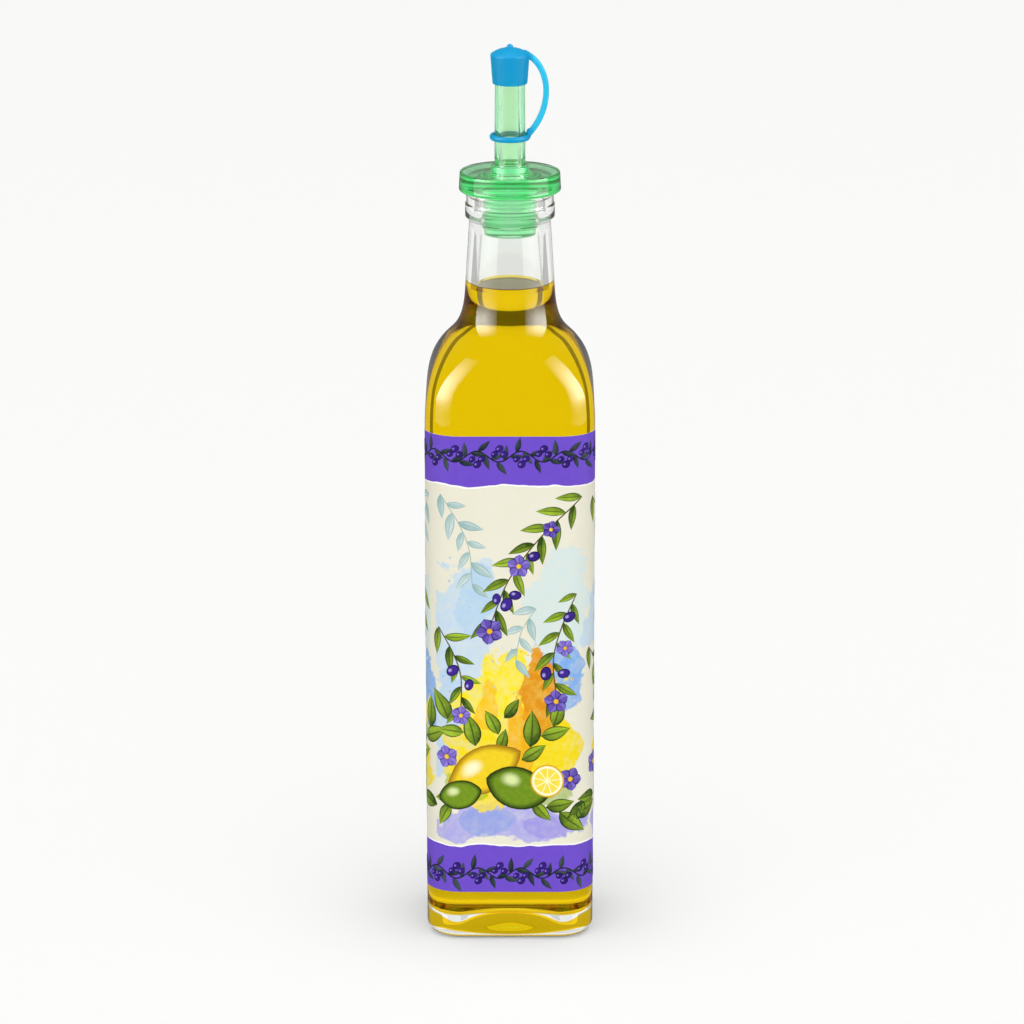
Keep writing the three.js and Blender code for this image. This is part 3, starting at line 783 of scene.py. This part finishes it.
def stemTree():
    # a drawn line becomes a narrow film of ink
    tree, add, given = newShapeTree("stems", Width=0.4 * mm, Lift=0.0, Material=None)
    line = smoothLine(add, given["Geometry"])
    line = add("SetCurveNormal", [line], mode="Z_UP")
    section = add("CurvePrimitiveQuadrilateral", {"Width": given["Width"], "Height": inkShape["thick"] * mm})
    stem = add("CurveToMesh", {"Curve": line, "Profile Curve": section, "Fill Caps": True})
    raised = add("CombineXYZ", {"Z": given["Lift"]})
    stem = add("SetPosition", {"Geometry": stem, "Offset": raised})
    closeTree(add, stem, given["Material"])
    return tree


def closeCopies(add, given, copies, step, order=None):
    # each copy keeps a tone of its own, and lies a little higher by its order, so that films stay apart
    tone = add("RandomValue", {2: 0.0, 3: 1.0, "Seed": given["Seed"]})
    copies = add("StoreNamedAttribute", {"Geometry": copies, "Name": "tone", "Value": tone},
                 data_type="FLOAT", domain="INSTANCE")
    lift = add("CombineXYZ", {"Z": add("Math MULTIPLY_ADD", [order or tone, step, given["Lift"]])})
    copies = add("TranslateInstances", {"Instances": copies, "Translation": lift, "Local Space": False})
    closeTree(add, copies, given["Material"])


def leafTree():
    # leaves left and right along every drawn line, each a little different
    tree, add, given = newShapeTree("leaves", LeafLength=8 * mm, LeafWidth=2.4 * mm, Belly=0.8, Curl=0.12,
                                    Spacing=4 * mm, Angle=0.8, Loose=1.0, Seed=1, Lift=0.0, Material=None)
    leaf = leafSheet(add, given["LeafLength"], given["LeafWidth"], given["Belly"], given["Curl"])
    line = smoothLine(add, given["Geometry"])
    knots = add("CurveToPoints", {"Curve": line, "Length": given["Spacing"]}, mode="LENGTH")
    x, y, _ = add("SeparateXYZ", [knots.outputs["Tangent"]]).outputs
    heading = add("Math ARCTAN2", [y, x])
    side = add("Math MODULO", [add("InputIndex"), 2.0])
    side = add("Math MULTIPLY_ADD", [side, 2.0, -1.0])
    low, high = inkShape["leafLean"]
    lean = add("RandomValue", {2: low, 3: high, "Seed": given["Seed"]})
    lean = add("Math MULTIPLY_ADD", [lean, given["Loose"], 1.0])
    lean = add("Math MULTIPLY", [lean, given["Angle"]])
    turn = add("CombineXYZ", {"Z": add("Math MULTIPLY_ADD", [lean, side, heading])})
    later = add("Math ADD", [given["Seed"], 7.0])
    low, high = inkShape["leafGrowth"]
    big = add("RandomValue", {2: low, 3: high, "Seed": later})
    big = add("Math MULTIPLY_ADD", [big, given["Loose"], 1.0])
    big = add("Math MULTIPLY", [big, add("InputNamedAttribute", {"Name": "size"}, data_type="FLOAT")])
    scale = add("CombineXYZ", [big, big, 1.0])
    copies = add("InstanceOnPoints", {"Points": knots, "Instance": leaf, "Rotation": turn, "Scale": scale})
    closeCopies(add, given, copies, inkShape["leafStack"] * mm)
    return tree


def onPoints(add, given, shape):
    # one copy on each drawn point, with the point's own size and turn
    size, spin = (add("InputNamedAttribute", {"Name": name}, data_type="FLOAT") for name in ("size", "spin"))
    copies = add("InstanceOnPoints", {"Points": given["Geometry"], "Instance": shape,
                                      "Rotation": add("CombineXYZ", {"Z": spin}),
                                      "Scale": add("CombineXYZ", [size, size, 1.0])})
    order = add("Math MODULO", [add("InputIndex"), 5.0])
    closeCopies(add, given, copies, inkShape["spotStack"] * mm, order)


def spotTree():
    # round films of ink: berries, flower hearts, fruit and cut fruit
    tree, add, given = newShapeTree("spots", Wide=1.5 * mm, Tall=1.5 * mm, Tip=0.0, Seed=1, Lift=0.0,
                                    Material=None)
    onPoints(add, given, roundSheet(add, given["Wide"], given["Tall"], given["Tip"]))
    return tree


def blossomTree():
    # flowers of five petals
    tree, add, given = newShapeTree("blossoms", Petal=3.2 * mm, Width=2.8 * mm, Belly=1.35, Curl=0.06, Seed=1,
                                    Lift=0.0, Material=None)
    petal = leafSheet(add, given["Petal"], given["Width"], given["Belly"], given["Curl"])
    ring = add("MeshCircle", {"Vertices": 5, "Radius": 1e-5})
    x, y, _ = add("SeparateXYZ", [add("InputPosition")]).outputs
    turn = add("CombineXYZ", {"Z": add("Math ARCTAN2", [y, x])})
    petals = add("InstanceOnPoints", {"Points": ring, "Instance": petal, "Rotation": turn})
    order = add("Math MULTIPLY", [add("InputIndex"), inkShape["petalStack"] * mm])
    order = add("CombineXYZ", {"Z": order})
    petals = add("TranslateInstances", {"Instances": petals, "Translation": order, "Local Space": False})
    onPoints(add, given, add("RealizeInstances", [petals]))
    return tree


stems, leaves, spots, blossoms = stemTree(), leafTree(), spotTree(), blossomTree()


# how the inks are shaded: shares of tone, and where edges, ribs, shines and walls begin and end
inkTone = {
    "poolSize": 1.6, "pooled": 0.5, "eachMotif": 0.55, "lightHalf": 0.28, "foot": (0.0, 0.45, -0.45, 0.0),
    "rib": (0.16, 0.04), "leafEdge": (0.72, 0.95), "roundEdge": (0.74, 0.97),
    "shinePlace": (-0.28, 0.3, 0), "shine": (0.42, 0.1, 0.0, 0.85),
    "wedges": 9, "wall": (0.16, 0.06), "pithInside": (0.74, 0.8), "pithOutside": (0.93, 0.88),
}


def inkMaterial(name, dark, light, rim, rib=0, shine=None, pith=None):
    # screen ink: one tone a motif, a dark drawn edge, a rib or a small shine, slight pooling
    k = inkTone
    material, add = newMaterial(name)
    body = add("TexCoord").outputs["Object"]
    pool = add("TexNoise", {"Vector": body, "Scale": 1 / (k["poolSize"] * mm), "Detail": 3.0})
    tone = add("Math MULTIPLY", [add("Attribute", attribute_name="tone").outputs["Fac"], k["eachMotif"]])
    tone = add("Math MULTIPLY_ADD", [pool, k["pooled"], tone])
    along = add("Attribute", attribute_name="along").outputs["Fac"]
    if rib:
        # leaves and petals: lighter half, dark foot, drawn rib
        across = add("Attribute", attribute_name="across").outputs["Fac"]
        far = add("Math ABSOLUTE", [across])
        tone = add("Math MULTIPLY_ADD", [across, k["lightHalf"], tone])
        tone = add("Math ADD", [tone, add("MapRange", [along, *k["foot"]])])
        middle = add("MapRange", [far, *k["rib"], 0.0, rib])
        edge = add("Math MAXIMUM", [add("MapRange", [far, *k["leafEdge"]]), middle])
    else:
        edge = add("MapRange", [along, *k["roundEdge"]])
        local = add("Attribute", attribute_name="local").outputs["Vector"]
    colour, layers = toLinear(dark), [(tone, light), (edge, rim)]
    if shine:
        spot = add("VectorMath DISTANCE", [local, k["shinePlace"]])
        spot = add("MapRange", [spot, *k["shine"]], interpolation_type="SMOOTHSTEP")
        layers.append((spot, shine))
    if pith:
        # cut fruit: wedges between thin walls, inside a pale ring
        x, y, _ = add("SeparateXYZ", [local]).outputs
        turn = add("Math MULTIPLY", [add("Math ARCTAN2", [y, x]), k["wedges"] / 2])
        wall = add("Math ABSOLUTE", [add("Math SINE", [turn])])
        wall = add("MapRange", [add("Math MULTIPLY", [wall, along]), *k["wall"]])
        wall = add("Math MAXIMUM", [wall, add("MapRange", [along, *k["pithInside"]])])
        wall = add("Math MULTIPLY", [wall, add("MapRange", [along, *k["pithOutside"]])])
        layers.append((wall, pith))
    for share, tint in layers:
        colour = add("Mix", {"Factor": share, "A": colour, "B": toLinear(tint)}, data_type="RGBA")
    add("OutputMaterial", [add("BsdfPrincipled", {"Base Color": colour, **printFinish})])
    return material


# where things are drawn, in millimetres; panel "a" is front and back, panel "b" both sides
drawing = {
    # lines: panel, leaf size, points
    "sprigs": [
        ("a", 1.0, [(25, 158), (16, 150), (7, 140), (-1, 128), (-6, 115)]),
        ("a", 0.9, [(23, 124), (18, 113), (15, 101), (16, 89)]),
        ("a", 0.9, [(-25, 112), (-20, 104), (-17, 95), (-17, 84)]),
        ("b", 1.0, [(-22, 157), (-13, 148), (-4, 137), (1, 123)]),
        ("b", 0.95, [(18, 128), (15, 115), (10, 104), (8, 92)]),
        ("b", 0.9, [(-24, 104), (-18, 96), (-16, 86)]),
    ],
    "pale": [
        ("a", 1.0, [(-24, 159), (-18, 150), (-14, 140), (-13, 128)]),
        ("a", 0.9, [(9, 119), (4, 111), (2, 101)]),
        ("b", 1.0, [(23, 158), (18, 149), (15, 137)]),
        ("b", 0.9, [(-14, 126), (-16, 116), (-14, 105)]),
    ],
    "broad": [
        ("a", 1.25, [(-12, 70), (-16, 75), (-21, 79)]), ("a", 1.3, [(4, 65), (9, 72), (15, 77)]),
        ("a", 1.15, [(-16, 52), (-21, 49), (-26, 48)]), ("a", 1.2, [(8, 50), (15, 47), (22, 45)]),
        ("a", 1.0, [(-4, 68), (-4, 74), (-2, 80)]),
        ("b", 1.25, [(-2, 70), (-7, 76), (-13, 79)]), ("b", 1.2, [(13, 64), (18, 69), (23, 75)]),
        ("b", 1.15, [(-14, 52), (-20, 50), (-25, 49)]),
    ],
    # points: panel, place, size, turn in degrees
    "blossoms": [
        ("a", (3, 134), 1.3, 10), ("a", (-7, 111), 1.5, 40), ("a", (14, 147), 1.0, 70),
        ("a", (16, 86), 1.35, 20), ("a", (19, 105), 1.0, 50), ("a", (21, 58), 1.35, 60),
        ("a", (-22, 66), 1.3, 30), ("a", (-17, 81), 1.1, 5),
        ("b", (2, 119), 1.4, 12), ("b", (-9, 143), 1.1, 44), ("b", (8, 89), 1.3, 30),
        ("b", (-20, 62), 1.4, 0), ("b", (14, 112), 1.0, 25),
    ],
    "berries": [
        ("a", (8.2, 137.5), 1.1, 20), ("a", (-1.2, 120.5), 1.25, 60), ("a", (1.8, 123.8), 1.05, 0),
        ("a", (-4.6, 122.5), 0.95, 90), ("a", (20.4, 116), 1.1, 30), ("a", (12.4, 96), 1.2, 80),
        ("a", (18.6, 96), 1.05, 10), ("a", (-19.8, 97), 1.15, 40), ("a", (-14.2, 92), 1.0, 75),
        ("b", (-6, 139.5), 1.2, 0), ("b", (-1, 132), 1.05, 30), ("b", (12.5, 107), 1.2, 60),
        ("b", (6, 100), 1.0, 20), ("b", (-18, 91), 1.1, 45),
    ],
    "lemons": [("a", (-9, 61.5), 1.65, 28), ("b", (-3, 62), 1.65, 152)],
    "limes": [("a", (2.5, 55), 1.45, -18), ("a", (-17.5, 52.5), 1.0, 12), ("b", (8, 56), 1.5, 20)],
    "slices": [("a", (13, 57.5), 0.95, 8), ("b", (-12, 54), 0.95, 30)],
    # the running vine: waves, heights, swing, and the berries in each bow as across, up, size
    "borderWaves": 14, "borderHeights": (172.6, 24.2), "borderSwing": 1.9,
    "borderBunch": [(-1.5, 0.9, 0.95), (0.2, 2.7, 1.15), (1.7, 0.8, 1.0)],
}
shifts = {"a": (0, 2), "b": (-1, 1), "once": (0,)}        # panel widths from the front to each copy


def inkLines(lines):
    # drawn lines as one mesh of edges, with the leaf size kept on its points
    verts, edges, sizes = [], [], []
    for panel, size, points in lines:
        for shift in shifts[panel]:
            start = len(verts)
            verts += [((u + shift * panelWidth) * mm, v * mm, 0) for u, v in points]
            edges += [(i, i + 1) for i in range(start, len(verts) - 1)]
            sizes += [size] * len(points)
    obj = newObject("drawnLines", verts, edges)
    keepOn(obj, "size", "POINT", sizes)
    return obj


def inkPoints(points):
    # drawn points as one mesh, with their sizes and turns kept
    verts, sizes, spins = [], [], []
    for panel, (u, v), size, turn in points:
        for shift in shifts[panel]:
            verts.append(((u + shift * panelWidth) * mm, v * mm, 0))
            sizes.append(size)
            spins.append(math.radians(turn))
    obj = newObject("drawnPoints", verts)
    keepOn(obj, "size", "POINT", sizes)
    keepOn(obj, "spin", "POINT", spins)
    return obj


# inks: name, deep tone, light tone, drawn edge, then rib strength, shine and pith where there are any
inks = {ink[0]: inkMaterial(*ink) for ink in [
    ("leafInk", "2f4d10", "a9c934", "1c2d0e", 0.75), ("paleLeafInk", "93b6b4", "d3e2df", "7fa6a8", 0.45),
    ("stemInk", "5d4a1c", "7a6423", "4a3a18"), ("paleStemInk", "9fb7ae", "b5c8c0", "93ada6"),
    ("petalInk", "3b2390", "9a86e6", "26135f", 0.45), ("heartInk", "e0a014", "f7dc3a", "a86a10"),
    ("berryInk", "241060", "45299c", "150938", 0, "b9adf0"),
    ("lemonInk", "e6b208", "fbe62c", "a8760a", 0, "fffbd8"),
    ("limeInk", "33560c", "8db022", "1b2f08", 0, "e9f3b0"),
    ("sliceInk", "f0cf1e", "fae95a", "d9a50a", 0, None, "fdf8d4"),
    ("borderLeafInk", "1d2a30", "4a5c58", "140f33", 0.5),
    ("borderBerryInk", "220d5a", "3c1f8c", "140833", 0, "8d76dd"),
]}


def makePrint():
    d = drawing
    low = wrapShape["lift"] + wrapShape["thick"] + inkShape["above"]
    waves, swing, whole = d["borderWaves"], d["borderSwing"], 4 * panelWidth
    # the running vine on both violet bands, with three berries in each bow
    vines, dots = [], []
    for height in d["borderHeights"]:
        vine = [((i / (waves * 8) - 0.5) * whole, height + swing * math.sin(2 * math.pi * i / 8))
                for i in range(waves * 8 + 1)]
        vines.append(("once", 1.0, vine))
        for i in range(waves * 2):
            u, side = ((i + 0.5) / (waves * 2) - 0.5) * whole, 1 if i % 2 else -1
            for across, up, size in d["borderBunch"]:
                dots.append(("once", (u + across, height + side * up), size, 40))
    made = []

    def lay(name, drawn, tree, ink, layer, **sizes):
        lengths = ("Width", "LeafLength", "LeafWidth", "Spacing", "Wide", "Tall")        # in millimetres
        values = {key: value * mm if key in lengths else value for key, value in sizes.items()}
        values.update(Lift=(low + layer * inkShape["layer"]) * mm, Seed=len(made) + 1, Material=inks[ink])
        obj = runTree(drawn, tree, **values)
        obj.name = name
        made.append(runTree(obj, wrapOnBody, Material=inks[ink]))

    lay("paleStems", inkLines(d["pale"]), stems, "paleStemInk", 0, Width=0.3)
    lay("paleLeaves", inkLines(d["pale"]), leaves, "paleLeafInk", 0,
        LeafLength=9.0, LeafWidth=3.0, Spacing=3.7, Angle=0.75)
    lay("sprigStems", inkLines(d["sprigs"]), stems, "stemInk", 1, Width=0.45)
    lay("sprigLeaves", inkLines(d["sprigs"]), leaves, "leafInk", 1,
        LeafLength=9.8, LeafWidth=3.1, Spacing=3.6, Angle=0.75)
    lay("broadLeaves", inkLines(d["broad"]), leaves, "leafInk", 1,
        LeafLength=9.5, LeafWidth=4.6, Spacing=4.6, Angle=0.5)
    lay("blossomPetals", inkPoints(d["blossoms"]), blossoms, "petalInk", 2.2)
    lay("blossomHearts", inkPoints(d["blossoms"]), spots, "heartInk", 4.2, Wide=0.7, Tall=0.7)
    lay("sprigBerries", inkPoints(d["berries"]), spots, "berryInk", 3.2, Wide=2.1, Tall=1.6)
    lay("lemons", inkPoints(d["lemons"]), spots, "lemonInk", 2.2, Wide=7.2, Tall=5.0, Tip=0.22)
    lay("limes", inkPoints(d["limes"]), spots, "limeInk", 2.9, Wide=7.0, Tall=5.2, Tip=0.12)
    lay("lemonSlices", inkPoints(d["slices"]), spots, "sliceInk", 3.6, Wide=6.2, Tall=6.2)
    lay("borderStems", inkLines(vines), stems, "borderLeafInk", 0, Width=0.5)
    lay("borderLeaves", inkLines(vines), leaves, "borderLeafInk", 0,
        LeafLength=5.6, LeafWidth=1.9, Spacing=2.5, Angle=0.8, Loose=0.4)
    lay("borderBerries", inkPoints(dots), spots, "borderBerryInk", 1.6, Wide=1.3, Tall=1.1)
    return made


motifs = makePrint()
for piece in [wrap, *motifs]:
    # the glass and oil look clear behind the print, lit from all round as in a light tent
    piece.visible_transmission = False
    piece.visible_glossy = False
print("print:", sum(len(obj.data.polygons) for obj in motifs), "faces in", len(motifs), "pieces")


# what each piece stands for
for piece, node, slot in [(glass, "bottle", "clear_glass"), (oil, "oil", "golden_oil"),
                          (pourer, "pourer", "green_plastic"), (cap, "cap", "blue_plastic"),
                          *((piece, "print_wrap", "printed_film") for piece in [wrap, *motifs])]:
    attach(piece, "root")
    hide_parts(node)


# floor, light and camera
stageSet = {
    "floorHalf": 5.0, "floorDrop": 0.3 * mm, "floorColour": "f2f2f1",
    # a grey block in the bottle's place, which only the floor's light meets, keeps the shadow neutral
    "blockRows": [(0, 0, 0.3, 0), (25.0, 8.5, 0.3, 0), (27.6, 11, 4, 0), (27.6, 11, 80, 0), (0, 0, 80, 0)],
    "blockColour": "b4b4b4", "blockColumns": 64,
    # a light tent: matt surfaces are lit from above and in front; it is dim in reflections,
    # and through the glass it shows bright behind and dark in front
    "tentBase": 0.08, "tentTop": 2.58, "tentTopNarrowing": 4.0, "tentFront": 1.45,
    "tentBeforeGlass": 0.25, "tentBehindGlass": 1.1, "tentAboveGlass": 0.62, "tentMirrored": (0.03, 0.22),
    # between which directions it turns from front to behind, from level to above, and in mirrored light
    "turnBehind": (0.2, 0.6), "turnAbove": (0.05, 0.3), "turnMirrored": (0.2, 0.9),
    # two tall softboxes that only glossy surfaces mirror: side, degrees from the front, wide, bright
    "softboxes": [("leftSoftbox", -1, 60.0, 1.65, 11.0), ("rightSoftbox", 1, 66.0, 1.7, 11.0)],
    "softboxAway": 1.5, "softboxTall": 2.7, "softboxSpill": 0.6,
    # brightest part of the way up, fading to the foot, the top and the side towards the camera
    "softboxFoot": (0.6, 1.2), "softboxHead": (0.9, 0.12), "softboxNear": (0.05, 0.1),
    # cards that only light passing through the glass meets: brightness, colour, corners in metres on the
    # right; one name is a card across the middle, two names are a mirrored pair
    "cards": {
        "paperBehind": (0.98, "ffffff", [(0.5, 0.05, 0.001), (0.7, 0.7, 0.001)]),
        # painted light: the card under the bottle glows pale green-yellow, standing in for the light that the oil
        # would let onto the floor beneath, which the grey block shuts out
        "paperUnder": (0.37, "d0ffb4", [(0.027, -0.027, -0.0001), (0.027, 0.027, -0.0001)]),
        "paperAbove": (1.0, "ffffff", [(0.7, -0.4, 1.6), (0.7, 1.0, 1.6)]),
        ("leftFoot", "rightFoot"): (0.3, "ffffff", [
            (0.052, 0.097, 0.002), (0.065, 0.088, 0.002), (0.467, 0.631, 0.002), (0.374, 0.69, 0.002)]),
        ("neckLeft", "neckRight"): (0.53, "ffffff", [
            (0.23, 0.4, 0.104), (0.55, 0.2, 0.074), (0.55, 0.2, 0.15), (0.23, 0.4, 0.18)]),
        "neckPaper": (1.05, "ffffff", [(0.23, 0.4, 0.1195), (0.23, 0.4, 0.19)]),
        "neckShade": (0.92, "ffffff", [(0.0385, 0.399, 0.1195), (0.0385, 0.399, 0.162)]),
    },
}


def makeFloor():
    s = stageSet
    h, z = s["floorHalf"], -s["floorDrop"]
    floor = newObject("floor", [(-h, -h, z), (h, -h, z), (h, h, z), (-h, h, z)], faces=[(0, 1, 2, 3)])
    material, add = newMaterial("paleFloor")
    colour = toLinear(s["floorColour"])
    shader = add("BsdfPrincipled", {"Base Color": colour, "Roughness": 0.7, "Specular IOR Level": 0.1})
    add("OutputMaterial", [shader])
    floor.data.materials.append(material)
    floor.visible_glossy = False


def makeBlock():
    material, add = newMaterial("greyCard")
    shader = add("BsdfDiffuse", {"Color": toLinear(stageSet["blockColour"])})
    add("OutputMaterial", [shader])
    block = skinOver("shadowBlock", stageSet["blockRows"], stageSet["blockColumns"], material)
    block.visible_camera = block.visible_glossy = block.visible_transmission = False
    for piece in [glass, oil, wrap, *motifs]:
        piece.visible_diffuse = piece.visible_shadow = False


def addCard(name, bright, colour, corners):
    material, add = newMaterial(name)
    shader = add("Emission", {"Color": toLinear(colour), "Strength": bright})
    add("OutputMaterial", [shader])
    card = newObject(name, corners, faces=[(0, 1, 2, 3)])
    card.data.materials.append(material)
    card.visible_camera = card.visible_diffuse = card.visible_glossy = card.visible_shadow = False


def makeCards():
    for name, (bright, colour, right) in stageSet["cards"].items():
        left = [(-x, y, z) for x, y, z in right]
        if isinstance(name, tuple):
            addCard(name[0], bright, colour, left)
            addCard(name[1], bright, colour, right)
        else:
            addCard(name, bright, colour, [left[0], *right, left[1]])


def addSoftbox(name, side, aside, wide, bright):
    s = stageSet
    (footUp, footBright), (headFrom, headShare), (nearTo, nearShare) = (
        s["softboxFoot"], s["softboxHead"], s["softboxNear"])
    turn = math.radians(aside)
    material, add = newMaterial(name)
    spot = add("TexCoord").outputs["Object"]
    up = add("SeparateXYZ", [spot]).outputs["Z"]
    foot = add("MapRange", [up, 0.0, footUp, footBright, bright], interpolation_type="SMOOTHSTEP")
    head = add("MapRange", [up, headFrom, s["softboxTall"], 1.0, headShare], interpolation_type="SMOOTHSTEP")
    across = add("VectorMath DOT_PRODUCT", [spot, (math.cos(turn) * side, math.sin(turn), 0)])
    near = add("MapRange", [across, -wide / 2, wide * nearTo, nearShare])
    strength = add("Math MULTIPLY", [add("Math MULTIPLY", [foot, head]), near])
    add("OutputMaterial", [add("Emission", {"Strength": strength})])
    middle = Vector((side * math.sin(turn), -math.cos(turn), 0)) * s["softboxAway"]
    along = Vector((math.cos(turn), side * math.sin(turn), 0)) * wide / 2
    rise = Vector((0, 0, s["softboxTall"]))
    corners = [middle - along, middle + along, middle + along + rise, middle - along + rise]
    corners += [(middle - along) * s["softboxSpill"], (middle + along) * s["softboxSpill"]]
    box = newObject(name, corners, faces=[(0, 1, 2, 3), (4, 5, 1, 0)])
    box.data.materials.append(material)
    box.visible_camera = box.visible_diffuse = box.visible_transmission = box.visible_shadow = False


def makeLights():
    s = stageSet
    for softbox in s["softboxes"]:
        addSoftbox(*softbox)
    world = bpy.data.worlds.new("lightTent")
    world.use_nodes = True
    add = partial(addNode, world.node_tree)
    ray = add("LightPath").outputs
    _, y, z = add("SeparateXYZ", [add("TexCoord").outputs["Generated"]]).outputs
    # through the glass
    behind = add("MapRange", [y, *s["turnBehind"], s["tentBeforeGlass"], s["tentBehindGlass"]])
    high = add("MapRange", [z, *s["turnAbove"], 1.0, s["tentAboveGlass"]])
    behind = add("Math MULTIPLY", [behind, high])
    # on matt surfaces
    above = add("Math POWER", [add("Math MAXIMUM", [z, 0.0]), s["tentTopNarrowing"]])
    ahead = add("Math MINIMUM", [y, 0.0])
    ahead = add("Math MULTIPLY", [ahead, ahead])
    matt = add("Math MULTIPLY_ADD", [above, s["tentTop"], s["tentBase"]])
    matt = add("Math MULTIPLY_ADD", [ahead, s["tentFront"], matt])
    strength = add("MapRange", [ray["Is Transmission Ray"], 0.0, 1.0, matt, behind])
    # mirrored rays find it dark in front and paler behind, where the rims of the glass look
    mirrored = add("Math MULTIPLY", [ray["Is Glossy Ray"], ray["Is Reflection Ray"]])
    mirror = add("MapRange", [y, *s["turnMirrored"], *s["tentMirrored"]])
    strength = add("MapRange", [mirrored, 0.0, 1.0, strength, mirror])
    back = world.node_tree.nodes["Background"]
    back.inputs["Color"].default_value = toLinear("ffffff")
    world.node_tree.links.new(strength.outputs[0], back.inputs["Strength"])
    scene.world = world


cameraSet = {"lens": 224.7, "sensor": 36.0, "distance": 2.2, "pitch": 15.0,
             "aim": (0.7 * mm, 0.0, 145.4 * mm)}


def makeCamera():
    c = cameraSet
    camera = bpy.data.cameras.new("camera")
    camera.lens = c["lens"]
    camera.sensor_width = c["sensor"]
    camera.clip_start = 0.01
    obj = bpy.data.objects.new("camera", camera)
    pitch = math.radians(c["pitch"])
    back = Vector((0, -math.cos(pitch), math.sin(pitch))) * c["distance"]
    obj.location = Vector(c["aim"]) + back
    obj.rotation_euler = (math.pi / 2 - pitch, 0, 0)
    scene.collection.objects.link(obj)
    scene.camera = obj


makeFloor()
makeBlock()
makeCards()
makeLights()
makeCamera()
scene.view_settings.view_transform = "Standard"
scene.cycles.max_bounces = 40
scene.cycles.transmission_bounces = 40
scene.cycles.glossy_bounces = 8
scene.cycles.diffuse_bounces = 8
print("stage set")
